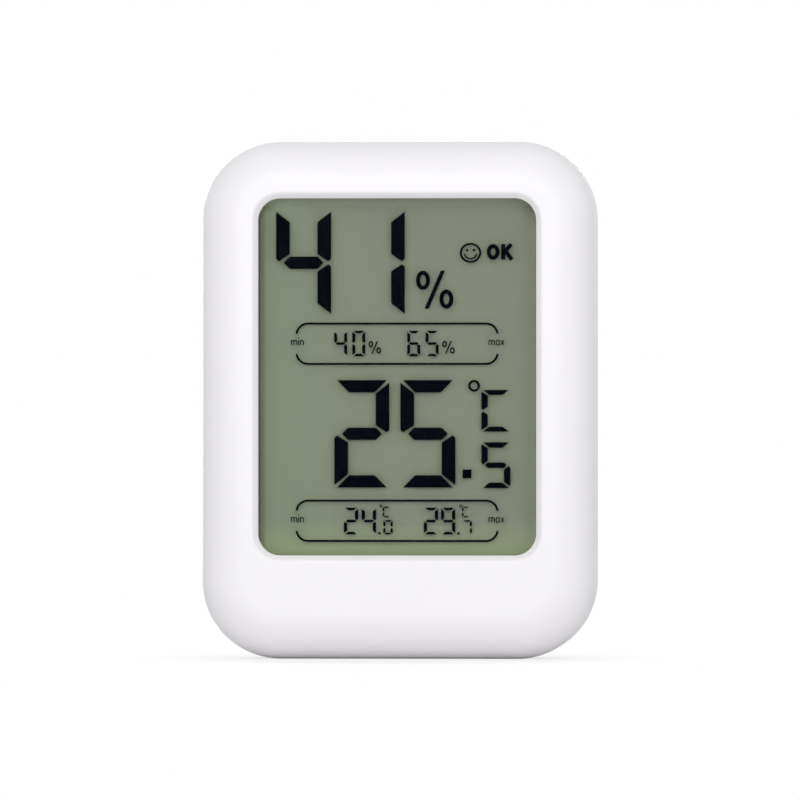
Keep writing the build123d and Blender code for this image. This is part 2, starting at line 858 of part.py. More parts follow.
def rear_inside():
    """What stands on the inner side of the rear shell: posts, shields, collars and rings."""
    inside = block((-stand_recess_half - stand_wall, stand_recess_half + stand_wall),
                   (stand_floor - stand_wall, rear_inner), (0, stand_recess_top + stand_wall))
    keyhole = Pos(0, (keyhole_head_z + keyhole_slot_z) / 2) * SlotCenterToCenter(
        keyhole_slot_z - keyhole_head_z, 2 * (keyhole_pocket_radius + keyhole_wall),
        rotation=quarter)
    inside += slab(keyhole, keyhole_floor - keyhole_wall, rear_inner)
    for side in both_sides:
        for height in case_screw_heights:
            inside += disc(side * post_x, height, case_post_radius, parting, rear_inner)
        inside += disc(side * side_x, button_z, button_radius + collar_wall,
                       rear_inner - collar_depth, rear_inner)
        inside += disc(side * magnet_x, magnet_z, magnet_radius + fit_gap + magnet_ring_wall,
                       rear_inner - magnet_ring_height, rear_inner)
    return inside & rear_hollow()


def stand_pin_bore(radius):
    """The stand's pin, or a bore for it, from wall to wall of the recess."""
    half = stand_recess_half + stand_wall
    return rod(stand_axis_y, stand_axis_z, radius, -half, half)


def rear_shell():
    """Rear half: battery bay, stand recess, keyhole, vents, button holes and screw posts."""
    shell = (case_block() & slab(case_plan(), parting, rear_face)) - rear_hollow()
    rim = shell.faces().filter_by(Plane.XZ).sort_by(Axis.Y)[0]
    shell = chamfer(rim.outer_wire().edges(), parting_chamfer)
    shell += tongue_ring(0)
    shell += rear_inside()
    shell += block((-bay_half - bay_wall, bay_half + bay_wall), (bay_front, rear_inner),
                   (bay_bottom - bay_wall, bay_top + bay_wall))
    behind = rear_face + overrun

    # Battery bay with its opening, the door's rebate and pin holes, and the nail notch
    shell -= block((-bay_half, bay_half), (bay_floor, rear_inner), (bay_bottom, bay_top))
    lap_half = door_half - door_rebate_lap
    shell -= block((-lap_half, lap_half), (rear_inner - overrun, behind), (bay_bottom, bay_top))
    shell -= slab(rounded(door_length + 2 * part_gap, door_bottom - part_gap,
                          door_top + part_gap, door_corner + part_gap),
                  door_inner - running_gap, behind)
    shell -= block((-door_half - part_gap, door_half + part_gap), (door_inner - running_gap, behind),
                   (door_bottom - part_gap, bay_centre_z))
    for side in both_sides:
        ends = sorted((side * (door_half - overrun), side * (door_half + door_pin_length + fit_gap)))
        shell -= rod(door_axis_y, door_axis_z, door_pin_radius + running_gap, *ends)
        tail = sorted((side * (contact_inner - fit_gap), side * bay_half))
        shell -= block(tail, (cell_y - tail_width / 2 - fit_gap, cell_y + tail_width / 2 + fit_gap),
                       (bay_bottom - bay_wall - overrun, bay_bottom + overrun))
    shell -= slab(rounded(latch_width, door_top - overrun, door_top + part_gap + nail_notch_height,
                          nail_notch_round), rear_face - nail_notch_depth, behind)

    # Stand recess, open at the foot
    shell -= block((-stand_recess_half, stand_recess_half), (stand_floor, behind),
                   (-overrun, stand_recess_top))
    shell -= stand_pin_bore(stand_pin_radius + bore_gap)

    # Keyhole: a round hole for the head of a screw and a slot above it, over a closed pocket
    length = keyhole_slot_z - keyhole_head_z
    centre = Pos(0, (keyhole_head_z + keyhole_slot_z) / 2)
    shell -= slab(centre * SlotCenterToCenter(length, 2 * keyhole_pocket_radius,
                                              rotation=quarter), keyhole_floor, rear_inner)
    shell -= slab(centre * SlotCenterToCenter(length, 2 * keyhole_slot_radius,
                                              rotation=quarter), rear_inner - overrun, behind)
    shell -= disc(0, keyhole_head_z, keyhole_head_radius, rear_inner - overrun, behind)

    for side in both_sides:
        for index in range(vent_count):
            vent = Pos(side * side_x, vent_first_z + index * vent_pitch)
            shell -= slab(vent * SlotOverall(vent_length, vent_width), rear_inner - overrun, behind)
        shell -= disc(side * side_x, button_z, button_radius + button_bore_gap,
                      rear_inner - collar_depth - overrun, behind)
        shell -= disc(side * magnet_x, magnet_z, magnet_radius + fit_gap,
                      rear_inner - magnet_ring_height, rear_face - magnet_skin)
        for height in case_screw_heights:
            shell -= disc(side * post_x, height, case_shank_radius + fit_gap, parting - overrun,
                          case_seat + overrun)
            shell -= disc(side * post_x, height, case_head_radius + part_gap, case_seat, behind)
    return shell


def battery_door():
    """Door that turns on two stub pins at its lower edge and clips at its upper one."""
    body = slab(rounded(door_length, door_bottom, door_top, door_corner), door_inner, door_outer)
    lower = (door_bottom - overrun, door_axis_z)
    body -= block((-door_length, door_length), (door_inner - overrun, door_outer + overrun), lower)
    body += rod(door_axis_y, door_axis_z, door_thickness / 2, -door_half, door_half)
    body += rod(door_axis_y, door_axis_z, door_pin_radius, -door_half - door_pin_length,
                door_half + door_pin_length)
    for side in both_sides:
        x = side * door_rib_x
        body += block((x - door_rib_thickness / 2, x + door_rib_thickness / 2),
                      (cell_y + cell_radius + fit_gap, door_inner),
                      (bay_centre_z - door_rib_height / 2, bay_centre_z + door_rib_height / 2))
        edge = side * (latch_width + latch_slit) / 2
        body -= block((edge - latch_slit / 2, edge + latch_slit / 2),
                      (door_inner - overrun, door_outer + overrun),
                      (door_top - latch_length, door_top + overrun))
    for index in range(grip_count):
        z = door_top - (index + 1) * grip_pitch
        body -= rod(door_outer, z, grip_radius, -latch_width / 2 + grip_pitch,
                    latch_width / 2 - grip_pitch)
    return body


def cell_can():
    """The AAA cell's bare can with its raised end."""
    body = rod(cell_y, bay_centre_z, cell_radius - sleeve_thickness, cell_minus_x,
               cell_plus_x - nub_length)
    body += rod(cell_y, bay_centre_z, nub_radius, cell_plus_x - nub_length, cell_plus_x)
    return fillet(body.faces().sort_by(Axis.X)[-1].edges(), sleeve_thickness)


def cell_sleeve():
    """The printed sleeve round the can."""
    ends = (cell_minus_x + sleeve_lap, cell_plus_x - nub_length - sleeve_lap)
    sleeve = rod(cell_y, bay_centre_z, cell_radius, *ends)
    return sleeve - rod(cell_y, bay_centre_z, cell_radius - sleeve_thickness,
                        ends[0] - overrun, ends[1] + overrun)


def contact(side):
    """A sheet contact at one end of the bay, with a tail through the bay's lower wall."""
    x = sorted((side * contact_inner, side * contact_outer))
    body = block(x, (cell_y - contact_depth / 2, cell_y + contact_depth / 2),
                 (bay_centre_z - contact_height / 2, bay_centre_z + contact_height / 2))
    body += block(x, (cell_y - tail_width / 2, cell_y + tail_width / 2),
                  (bay_bottom - bay_wall - tail_length, bay_centre_z))
    if side > 0:
        body += rod(cell_y, bay_centre_z, dimple_radius, cell_plus_x, contact_inner)
    return body


def contact_spring():
    """The room that the cone-shaped contact spring takes, wide end at its plate."""
    length = cell_minus_x + contact_inner
    cone = Cone(spring_wide_radius, spring_narrow_radius, length)
    return Pos(-contact_inner + length / 2, cell_y, bay_centre_z) * Rot(0, quarter, 0) * cone


def wire(side):
    """A lead from a contact's tail to the board: three straight runs and two bends."""
    x = side * (contact_inner + contact_outer) / 2
    top = bay_bottom - bay_wall - tail_length
    low = top - wire_drop
    points = ((x, cell_y, top), (x, cell_y, low), (x - side * wire_reach, cell_y, low),
              (x - side * wire_reach, board_back, low))
    runs = (wire_drop, wire_reach, cell_y - board_back)
    bends = [wire_bend_share * min(pair) for pair in zip(runs, runs[1:])]
    path = FilletPolyline(*points, radius=bends)
    return sweep(Plane((x, cell_y, top), z_dir=(0, 0, -1)) * Circle(wire_radius), path=path)


def magnets():
    """Two disc magnets behind the thin skin of the rear wall."""
    back = rear_face - magnet_skin
    return Part() + [disc(side * magnet_x, magnet_z, magnet_radius, back - magnet_thickness, back)
                     for side in both_sides]


def kickstand():
    """Fold-out stand: a panelled plate with a barrel on the pin and a heel that stops it."""
    half = stand_width / 2
    plate_front = stand_outer - stand_thickness
    body = block((-half, half), (plate_front, stand_outer), (stand_foot_z, stand_axis_z))
    body &= case_block()
    body += rod(stand_axis_y, stand_axis_z, stand_barrel, -half, half)
    body += block((-half, half), (stand_axis_y - stand_heel_inner, stand_axis_y + stand_heel_outer),
                  (stand_axis_z, stand_axis_z + stand_heel_top))
    body -= slab(rounded(stand_width - 2 * stand_panel_margin, stand_panel_bottom,
                         stand_axis_z - stand_panel_margin, stand_panel_corner),
                 stand_outer - stand_panel_depth, stand_outer + overrun)
    grip_y = stand_outer + stand_grip_radius - stand_grip_depth
    body -= rod(grip_y, stand_grip_z, stand_grip_radius, -half + stand_panel_margin,
                half - stand_panel_margin)
    return body - rod(stand_axis_y, stand_axis_z, stand_pin_radius + running_gap,
                      -half - overrun, half + overrun)


pieces = {
    "front_shell": front_shell(),
    "rear_shell": rear_shell(),
    "display_polariser": plate(rear_glass_bottom, display_front, polariser_back, film_margin),
    "display_front_glass": plate(front_glass_bottom, front_glass_front, front_glass_back),
    "display_seal": display_seal(),
    "digits_large": digits_large(),
    "digits_small": digits_small(),
    "display_marks": display_marks(),
    "display_rear_glass": plate(rear_glass_bottom, cell_back, rear_glass_back),
    "display_reflector": plate(rear_glass_bottom, reflector_front, display_back, film_margin),
    "display_frame": display_frame(),
    "contact_strip": contact_strip(),
    "circuit_board": circuit_board(),
    "board_screws": screws(board_screw_heights, board_back, board_head_radius,
                           board_head_height, board_shank_radius, board_shank_length),
    "case_screws": screws(case_screw_heights, case_seat, case_head_radius, case_head_height,
                          case_shank_radius, case_shank_length),
    "chip_cover": chip_cover(),
    "crystal": crystal(),
    "capacitors": chip_row(6, capacitor_row_z, capacitor_height),
    "resistors": chip_row(7, resistor_row_z, resistor_height),
    "filter_capacitor": filter_capacitor(),
    "humidity_sensor": humidity_sensor(),
    "temperature_sensor": temperature_sensor(),
    "unit_switch": switch(1),
    "unit_switch_plunger": plunger(1),
    "unit_button": button(1),
    "memory_switch": switch(-1),
    "memory_switch_plunger": plunger(-1),
    "memory_button": button(-1),
    "battery_door": battery_door(),
    "cell_can": cell_can(),
    "cell_sleeve": cell_sleeve(),
    "positive_contact": contact(1),
    "negative_contact": contact(-1),
    "contact_spring": contact_spring(),
    "positive_wire": wire(1),
    "negative_wire": wire(-1),
    "magnets": magnets(),
    "kickstand": kickstand(),
    "stand_pin": stand_pin_bore(stand_pin_radius),
}

os.makedirs("parts", exist_ok=True)
for name, shape in pieces.items():
    export_step(shape, f"parts/{name}.step")
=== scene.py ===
from math import cos, pi, radians, sin

import bmesh
import bpy
from mathutils import Matrix, Vector


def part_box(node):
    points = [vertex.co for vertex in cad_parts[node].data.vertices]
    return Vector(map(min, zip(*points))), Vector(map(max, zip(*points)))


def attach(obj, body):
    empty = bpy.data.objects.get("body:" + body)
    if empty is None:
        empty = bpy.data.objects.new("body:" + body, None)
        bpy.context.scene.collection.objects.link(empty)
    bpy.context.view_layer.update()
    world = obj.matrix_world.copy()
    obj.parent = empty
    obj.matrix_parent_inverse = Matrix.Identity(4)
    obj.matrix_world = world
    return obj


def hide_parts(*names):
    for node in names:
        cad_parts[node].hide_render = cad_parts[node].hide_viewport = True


bl_info = {
    "name": "Temperature and Humidity Sensor",
    "version": (1, 0, 0),
    "blender": (4, 5, 0),
    "location": "View3D > Sidebar > Sensor",
    "description": "Finishes and small details of a digital thermometer and hygrometer",
    "category": "Object",
}

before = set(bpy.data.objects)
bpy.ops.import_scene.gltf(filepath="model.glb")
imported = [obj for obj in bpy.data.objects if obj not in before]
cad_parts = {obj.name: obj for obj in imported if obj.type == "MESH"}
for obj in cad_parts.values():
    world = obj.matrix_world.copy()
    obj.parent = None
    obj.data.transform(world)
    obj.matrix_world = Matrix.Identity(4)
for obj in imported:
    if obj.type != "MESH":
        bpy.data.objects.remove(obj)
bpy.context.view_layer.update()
MM = 0.001
# Radius of the insulated leads.
LEAD_RADIUS = 0.4 * MM
# How far the crystal's leads reach past its can, and half the distance between them.
CRYSTAL_REACH, CRYSTAL_HALF_PITCH = 1.3 * MM, 0.45 * MM
# Height of a capital letter as a share of the font's size.
CAPITAL_SHARE = 0.72
# Painted light and shade on the display's film near the edges of its opening, added to its
# colour: an axis, where a change starts and ends on it in millimetres, and what it adds. Painted
# light under the upper lip and at the right edge, painted shadow along the left edge and at the
# foot.
PAINTED_EDGE_LIGHT = (("z", 65.2, 66.4, 0.46), ("x", 18.8, 20.0, 0.27), ("x", -19.2, -19.5, -0.2),
              ("x", -19.95, -20.1, -0.4), ("z", 15.6, 15.1, -0.12))
# The lamps: name, place in metres and width in metres. Each is aimed at the middle of the case.
LAMPS = (("key", (0.0, -1.0, 0.12), 1.0), ("side", (0.75, -0.7, 0.15), 0.40),
         ("top", (0.0, -0.35, 1.0), 0.50), ("back", (-0.15, 1.0, 0.20), 0.50))


def corners_of(node):
    """A CAD node's lowest and highest corners."""
    return [Vector(corner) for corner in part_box(node)]


def middle_of(node):
    """The middle of a CAD node's box."""
    low, high = corners_of(node)
    return (low + high) / 2


def wire_ends(node):
    """Where a lead meets its contact's tail, and where it meets the board."""
    low, high = corners_of(node)
    radius = LEAD_RADIUS
    outer, inner = (high.x, low.x) if node == "positive_wire" else (low.x, high.x)
    inwards = -radius if outer > inner else radius
    return (Vector((outer + inwards, high.y - radius, high.z)),
            Vector((inner - inwards, low.y, low.z + radius)))


class SensorColours(bpy.types.PropertyGroup):
    """Colours of the finishes, as linear values."""
    shell: bpy.props.FloatVectorProperty(
        name="Shell", description="Moulded white plastic of the case", subtype="COLOR",
        size=3, min=0, max=1, default=(0.900, 0.882, 0.908))
    reflector: bpy.props.FloatVectorProperty(
        name="Reflector", description="Silky film behind the display's cell", subtype="COLOR",
        size=3, min=0, max=1, default=(0.256, 0.286, 0.205))
    figures: bpy.props.FloatVectorProperty(
        name="Figures", description="Dark figures and signs in the cell", subtype="COLOR",
        size=3, min=0, max=1, default=(0.0001, 0.0004, 0.0034))
    board: bpy.props.FloatVectorProperty(
        name="Solder mask", description="Lacquer on the circuit board", subtype="COLOR",
        size=3, min=0, max=1, default=(0.018, 0.120, 0.045))
    sleeve: bpy.props.FloatVectorProperty(
        name="Cell sleeve", description="Printed film round the battery", subtype="COLOR",
        size=3, min=0, max=1, default=(0.030, 0.085, 0.200))
    marks: bpy.props.FloatVectorProperty(
        name="Marks", description="Printed signs behind", subtype="COLOR",
        size=3, min=0, max=1, default=(0.130, 0.130, 0.136))


class SensorSizes(bpy.types.PropertyGroup):
    """Sizes of the small details that the script adds."""
    spring_wire: bpy.props.FloatProperty(
        name="Spring wire", description="Radius of the contact spring's wire",
        default=0.2 * MM, min=0.05 * MM, max=1 * MM, unit="LENGTH", precision=5)
    spring_turns: bpy.props.IntProperty(
        name="Spring turns", description="Free turns of the contact spring", default=3, min=1,
        max=8)
    cover_thickness: bpy.props.FloatProperty(
        name="Switch cover", description="Thickness of the switches' steel covers",
        default=0.25 * MM, min=0.05 * MM, max=1 * MM, unit="LENGTH", precision=5)
    solder_radius: bpy.props.FloatProperty(
        name="Solder foot", description="Radius of a solder joint on the board",
        default=0.95 * MM, min=0.3 * MM, max=2 * MM, unit="LENGTH", precision=5)
    mark_height: bpy.props.FloatProperty(
        name="Mark relief", description="How far the marks behind stand proud of the case",
        default=0.05 * MM, min=0.02 * MM, max=0.5 * MM, unit="LENGTH", precision=5)
    letter_height: bpy.props.FloatProperty(
        name="Letter height", description="Height of the letters below the buttons",
        default=1.9 * MM, min=0.5 * MM, max=4 * MM, unit="LENGTH", precision=5)


class SensorStage(bpy.types.PropertyGroup):
    """Camera and light."""
    distance: bpy.props.FloatProperty(
        name="Camera distance", description="From the camera to the middle of the case",
        default=1.5, min=0.2, max=5, unit="LENGTH")
    turn: bpy.props.FloatProperty(
        name="Camera turn", description="How far the camera is turned round the case to +X",
        default=radians(3), min=-pi, max=pi, unit="ROTATION")
    frame_width: bpy.props.FloatProperty(
        name="Frame width", description="Width of the picture at the middle of the case",
        default=116.06 * MM, min=0.05, max=1, unit="LENGTH")
    look_height: bpy.props.FloatProperty(
        name="Look height", description="Height of the point at the middle of the picture",
        default=37.45 * MM, min=0, max=1, unit="LENGTH")
    key_power: bpy.props.FloatProperty(
        name="Key light", description="Power of the large lamp in front of the object",
        default=6.7, min=0, max=200, unit="POWER")
    side_power: bpy.props.FloatProperty(
        name="Side light", description="Power of the lamp to the right",
        default=0.3, min=0, max=200, unit="POWER")
    top_power: bpy.props.FloatProperty(
        name="Top light", description="Power of the lamp over the object",
        default=0.38, min=0, max=200, unit="POWER")
    back_power: bpy.props.FloatProperty(
        name="Back light", description="Power of the lamp behind the object",
        default=3.6, min=0, max=200, unit="POWER")
    room_light: bpy.props.FloatProperty(
        name="Room light", description="Strength of the pale room around the object",
        default=0.58, min=0, max=2)


class Value:
    """An output of a shader node, with the usual arithmetic."""

    def __init__(self, finish, node, socket):
        self.finish, self.node, self.socket = finish, node, socket

    def out(self, name):
        return Value(self.finish, self.node, self.node.outputs[name])

    def _maths(self, operation, *values):
        return self.finish.node("ShaderNodeMath", {"operation": operation}, values)

    def __add__(self, other):
        return self._maths("ADD", self, other)

    def __sub__(self, other):
        return self._maths("SUBTRACT", self, other)

    def __rsub__(self, other):
        return self._maths("SUBTRACT", other, self)

    def __mul__(self, other):
        return self._maths("MULTIPLY", self, other)

    def __truediv__(self, other):
        return self._maths("DIVIDE", self, other)

    def __abs__(self):
        return self._maths("ABSOLUTE", self)

    __radd__, __rmul__ = __add__, __mul__

    def root(self):
        return self._maths("SQRT", self)

    def fract(self):
        return self._maths("FRACT", self)

    def wave(self):
        return self._maths("SINE", self)

    def larger(self, other):
        return self._maths("MAXIMUM", self, other)

    def ramp(self, low, high, first=0.0, last=1.0):
        """A smooth change from first at low to last at high."""
        return self.finish.node("ShaderNodeMapRange", {"interpolation_type": "SMOOTHSTEP"},
                                (self, low, high, first, last))

    def near(self, centre, half, soft=0.03):
        """One where this is within half of centre, with soft edges."""
        return abs(self - centre).ramp(half - soft, half + soft, 1.0, 0.0)

    def between(self, low, high, soft=0.03):
        return self.near((low + high) / 2, (high - low) / 2, soft)


class Finish:
    """A material whose nodes are written as expressions. Places are in millimetres."""

    def __init__(self, name):
        self.material = bpy.data.materials.new(name)
        self.material.use_nodes = True
        self.tree = self.material.node_tree
        self.tree.nodes.clear()
        self.surface = self.tree.nodes.new("ShaderNodeBsdfPrincipled")
        output = self.tree.nodes.new("ShaderNodeOutputMaterial")
        self.tree.links.new(self.surface.outputs[0], output.inputs["Surface"])
        place = self.node("ShaderNodeTexCoord").out("Object")
        self.place = self.node("ShaderNodeVectorMath", {"operation": "SCALE"},
                               {"Vector": place, "Scale": 1 / MM})
        split = self.node("ShaderNodeSeparateXYZ", {}, (self.place,))
        self.x, self.y, self.z = split, split.out("Y"), split.out("Z")

    def node(self, kind, settings=None, inputs=()):
        """Adds a node, sets it up, feeds it, and gives its first live output."""
        node = self.tree.nodes.new(kind)
        for key, setting in (settings or {}).items():
            setattr(node, key, setting)
        pairs = inputs.items() if isinstance(inputs, dict) else enumerate(inputs)
        for key, value in pairs:
            self.feed(node.inputs[key], value)
        live = [socket for socket in node.outputs if socket.enabled]
        return Value(self, node, live[0])

    def feed(self, socket, value):
        """Links a value to a socket, or sets the socket to a number or a colour."""
        if isinstance(value, Value):
            self.tree.links.new(value.socket, socket)
        elif socket.type == "RGBA" and len(value) == 3:
            socket.default_value = (*value, 1.0)
        else:
            socket.default_value = value

    def set(self, **inputs):
        """Feeds the surface; an underscore in a name stands for a space."""
        for name, value in inputs.items():
            self.feed(self.surface.inputs[name.replace("_", " ")], value)
        return self

    def mix(self, factor, first, second, blend="MIX"):
        """One colour over another."""
        return self.node("ShaderNodeMix", {"data_type": "RGBA", "blend_type": blend},
                         {0: factor, 6: first, 7: second})

    def stretched(self, x=1.0, y=1.0, z=1.0):
        """The place with its axes scaled: a pattern is drawn out along the small ones."""
        return self.node("ShaderNodeVectorMath", {"operation": "MULTIPLY"},
                         {0: self.place, 1: (x, y, z)})

    def noise(self, size, detail=2.0, rough=0.5, place=None):
        """Noise whose features are about size millimetres across, from 0 to 1."""
        return self.node("ShaderNodeTexNoise", {}, {
            "Vector": place or self.place, "Scale": 1 / size, "Detail": detail,
            "Roughness": rough})

    def cells(self, size, place=None):
        """Distance to the nearest of scattered points, about size millimetres apart."""
        return self.node("ShaderNodeTexVoronoi", {}, {
            "Vector": place or self.place, "Scale": 1 / size})

    def relief(self, height, depth):
        """A bump whose height of 1 is depth millimetres."""
        return self.node("ShaderNodeBump", {}, {
            "Height": height, "Strength": 1.0, "Distance": depth * MM})

    def about(self, *centre):
        """Distance in the plane of x and z from a point."""
        across, up = self.x - centre[0], self.z - centre[1]
        return (across * across + up * up).root()


def tint(colour, share):
    """A colour made darker or brighter."""
    return tuple(part * share for part in colour)


def moulded(name, colour, grain=0.16, depth=0.004, roughness=0.4, speck=0.012):
    """Moulded plastic: a spark-eroded grain, faint flow marks and a little dust in the grain."""
    finish = Finish(name)
    fine, broad = finish.cells(grain), finish.noise(9.0, 3.0)
    cloud = finish.noise(2.2, 4.0, 0.6)
    flow = finish.mix(broad, tint(colour, 1 - speck), colour)
    base = finish.mix(cloud.ramp(0.62, 0.8, 0.0, 0.5), flow, tint(colour, 1 - 2.5 * speck))
    grit = finish.noise(grain * 0.6, 2.0)
    return finish.set(
        Base_Color=base, Roughness=cloud * 0.08 + fine * 0.06 + (roughness - 0.07), IOR=1.49,
        Normal=finish.relief(fine * 0.6 + grit * 0.4, depth))


def clear_layer(name, colour, alpha, roughness, waviness):
    """A see-through layer of the display: a faint tint and a slightly wavy gloss."""
    finish = Finish(name)
    haze = finish.noise(14.0, 2.0)
    smear = finish.noise(3.5, 4.0, 0.6)
    return finish.set(
        Base_Color=finish.mix(haze, tint(colour, 0.8), tint(colour, 1.2)),
        Roughness=smear * 0.1 + (roughness - 0.05), Specular_IOR_Level=0.25, Alpha=alpha,
        Normal=finish.relief(finish.noise(5.0, 1.0), waviness))


def silk_reflector(name, colour):
    """Greenish grey film with a silky grain, greener at the left, and painted light and shade
    along its foot and edges.
    """
    finish = Finish(name)
    x, z = finish.x, finish.z
    left, foot, head = x.ramp(4.0, -21.0), z.ramp(21.0, 14.5), z.ramp(30.0, 62.0)
    red, green, blue = colour
    grey = finish.mix(head, colour, (red * 0.99, green * 0.965, blue))
    greener = finish.mix(left, grey, (red, green * 1.055, blue))
    # Painted light: brighter and more olive towards the foot, where the lower lip shades the
    # film.
    base = finish.mix(foot, greener, (red * 1.35, green * 1.43, blue * 1.16))
    silk = finish.noise(0.3, 1.0)
    cloud = finish.noise(12.0, 2.0)
    shade = (silk * 0.3 + cloud * 0.7) * 0.018
    # Painted light and shade along the edges of the opening.
    for axis, start, end, added in PAINTED_EDGE_LIGHT:
        shade = shade + getattr(finish, axis).ramp(start, end) * added
    # Painted light brightening the top-left corner of the film.
    corner = x.ramp(-12.0, -17.0) * z.ramp(61.0, 65.0)
    shade = shade + corner * 0.16 + 1.0
    return finish.set(Base_Color=finish.mix(1.0, base, shade, "MULTIPLY"),
                      Roughness=silk * 0.1 + 0.6, Specular_IOR_Level=0.2)


def figure_ink(name, colour):
    """Dark figures with a faint blue cast and the crystal's fine grain."""
    finish = Finish(name)
    grain = finish.noise(0.5, 3.0)
    return finish.set(Base_Color=finish.mix(grain, tint(colour, 0.7), tint(colour, 1.4)),
                      Roughness=grain * 0.1 + 0.5, Specular_IOR_Level=0.0)


def rolled_metal(name, colour, roughness=0.28, stretch=(1.0, 1.0, 0.08), scratch=0.002):
    """Rolled or drawn sheet: fine lines along one direction and dull patches."""
    finish = Finish(name)
    lines = finish.noise(0.12, 3.0, 0.6, finish.stretched(*stretch))
    patch = finish.noise(1.6, 3.0, 0.6)
    return finish.set(
        Base_Color=finish.mix(patch.ramp(0.45, 0.75), colour, tint(colour, 0.86)),
        Metallic=1.0, Roughness=lines * 0.16 + patch * 0.14 + (roughness - 0.14),
        Normal=finish.relief(lines, scratch))


def zinc_screw(name, node, head, pitch):
    """Plated screw: fine turning lines, dull patches and a thread below the head."""
    finish = Finish(name)
    seat = corners_of(node)[1].y / MM - head
    turned = finish.noise(0.1, 1.0, place=finish.stretched(0.2, 1.0, 0.2))
    ridge = (finish.y * (2 * pi / pitch)).wave() * finish.y.ramp(seat - 0.3, seat, 1.0, 0.0)
    patch = finish.noise(0.7, 3.0, 0.6)
    colour = finish.mix(patch.ramp(0.4, 0.8), (0.52, 0.52, 0.50), (0.38, 0.37, 0.34))
    return finish.set(Base_Color=colour, Metallic=1.0, Roughness=patch * 0.14 + 0.42,
                      Normal=finish.relief(ridge * 0.4 + turned * 0.1, 0.06))


def rubber_strip(name):
    """Contact strip: fine dark conductive bands in pale silicone."""
    finish = Finish(name)
    band = (finish.x * (2 * pi / 0.5)).wave().ramp(-0.2, 0.2)
    core = finish.z.near(middle_of("contact_strip").z / MM, 0.5, 0.08)
    base = finish.mix(core * band, (0.46, 0.44, 0.42), (0.03, 0.03, 0.03))
    return finish.set(Base_Color=base, Roughness=finish.noise(0.4) * 0.1 + 0.6,
                      Normal=finish.relief(band, 0.01))


def circuit_board(name, colour):
    """Solder mask over copper runs, tinned pads, and white outlines round the small parts."""
    finish = Finish(name)
    x, z = finish.x, finish.z
    chip = middle_of("chip_cover") / MM
    strip = middle_of("contact_strip") / MM
    board, top = middle_of("circuit_board") / MM, corners_of("circuit_board")[1].z / MM
    fan = x.fract().near(0.5, 0.17, 0.04) * z.between(strip.z + 1.4, chip.z - 6.5)
    fan = fan * abs(x).ramp(17.0, 17.2, 1.0, 0.0)
    low_run = (z * 0.8).fract().near(0.5, 0.13, 0.04) * abs(x).between(9.5, 23.0)
    slanted = ((x + z) * 0.62).fract().near(0.5, 0.14, 0.04) * z.between(chip.z + 5.5, top - 0.9)
    pour = finish.noise(5.0, 0.0).ramp(0.5, 0.52) * abs(x).between(11.0, 24.0)
    copper = fan.larger(low_run).larger(slanted).larger(pour * 0.6)
    grain = finish.noise(0.4, 2.0)
    mask = finish.mix(copper, colour, (colour[0] * 2.2 + 0.02, colour[1] * 1.7, colour[2] * 1.5))
    mask = finish.mix(grain * 0.25, mask, tint(colour, 0.7))

    chip_ring, chip_pitch, half_chip, half_pad = 5.3, 2.9, 0.4, 0.62
    ink = abs(finish.about(chip.x, chip.z) - chip_ring).ramp(0.08, 0.14, 1.0, 0.0)
    pads = None
    for node in ("capacitors", "resistors"):
        low, high = (corner / MM for corner in corners_of(node))
        row, half = (low.z + high.z) / 2, (high.z - low.z) / 2
        steps = ((x - (low.x + half_chip)) / chip_pitch + 0.5).fract()
        column = steps.near(0.5, half_pad / chip_pitch, 0.01)
        column = column * x.between(low.x - 0.4, high.x + 0.4)
        pad = abs(z - row).between(half - 0.45, half + 0.45) * column
        pads = pad if pads is None else pads.larger(pad)
        outline = steps.near(0.5, 0.78 / chip_pitch, 0.01) \
            - steps.near(0.5, 0.70 / chip_pitch, 0.01)
        outline = outline * z.near(row, half + 0.7) * x.between(low.x - 0.6, high.x + 0.6)
        ink = ink.larger(outline)
    low, high = (corner / MM for corner in corners_of("board_screws"))
    head = 1.5
    for across in (low.x + head, high.x - head):
        for height in (low.z + head, high.z - head):
            land = abs(finish.about(across, height) - head).ramp(0.5, 0.6, 1.0, 0.0)
            pads = pads.larger(land)
    wire_land = 1.2
    for node in ("positive_wire", "negative_wire"):
        end = wire_ends(node)[1] / MM
        land = finish.about(end.x, end.z).ramp(wire_land, wire_land + 0.1, 1.0, 0.0)
        pads = pads.larger(land)
    contact_pitch, contact_reach = 0.9, 17.6
    contact = (x / contact_pitch).fract().near(0.5, 0.3, 0.05) * z.near(strip.z, 1.4)
    contact = contact * abs(x).ramp(contact_reach, contact_reach + 0.2, 1.0, 0.0)
    pads = pads.larger(contact)
    face = abs(finish.y - board.y).ramp(0.57, 0.59)
    base = finish.mix(ink * face, mask, (0.72, 0.72, 0.68))
    base = finish.mix(pads * face, base, (0.62, 0.60, 0.55))
    edge = finish.mix(finish.noise(0.3, 2.0), (0.22, 0.2, 0.09), (0.32, 0.28, 0.14))
    return finish.set(
        Base_Color=finish.mix(face, edge, base), Metallic=pads * face,
        Roughness=0.3 + grain * 0.12 - pads * 0.02 + (1 - face) * 0.4,
        Normal=finish.relief(copper * 0.5 + pads * 0.7 + grain * 0.08, 0.03))


def epoxy_drop(name):
    """Glossy black resin with a soft orange-peel skin."""
    finish = Finish(name)
    peel = finish.noise(0.9, 1.0)
    return finish.set(Base_Color=finish.mix(peel, (0.012, 0.012, 0.013), (0.022, 0.022, 0.022)),
                      Roughness=finish.noise(2.5, 3.0) * 0.2 + 0.12,
                      Normal=finish.relief(peel, 0.05))


def capped_chip(name, node, body, metal=(0.66, 0.64, 0.6)):
    """A ceramic chip with tinned ends."""
    finish = Finish(name)
    row, bare = middle_of(node).z / MM, 0.48
    ends = abs(finish.z - row).ramp(bare, bare + 0.05)
    grain = finish.noise(0.25, 3.0)
    base = finish.mix(grain, tint(body, 0.85), tint(body, 1.15))
    return finish.set(Base_Color=finish.mix(ends, base, metal), Metallic=ends,
                      Roughness=grain * 0.2 + 0.35, Normal=finish.relief(grain + ends, 0.02))


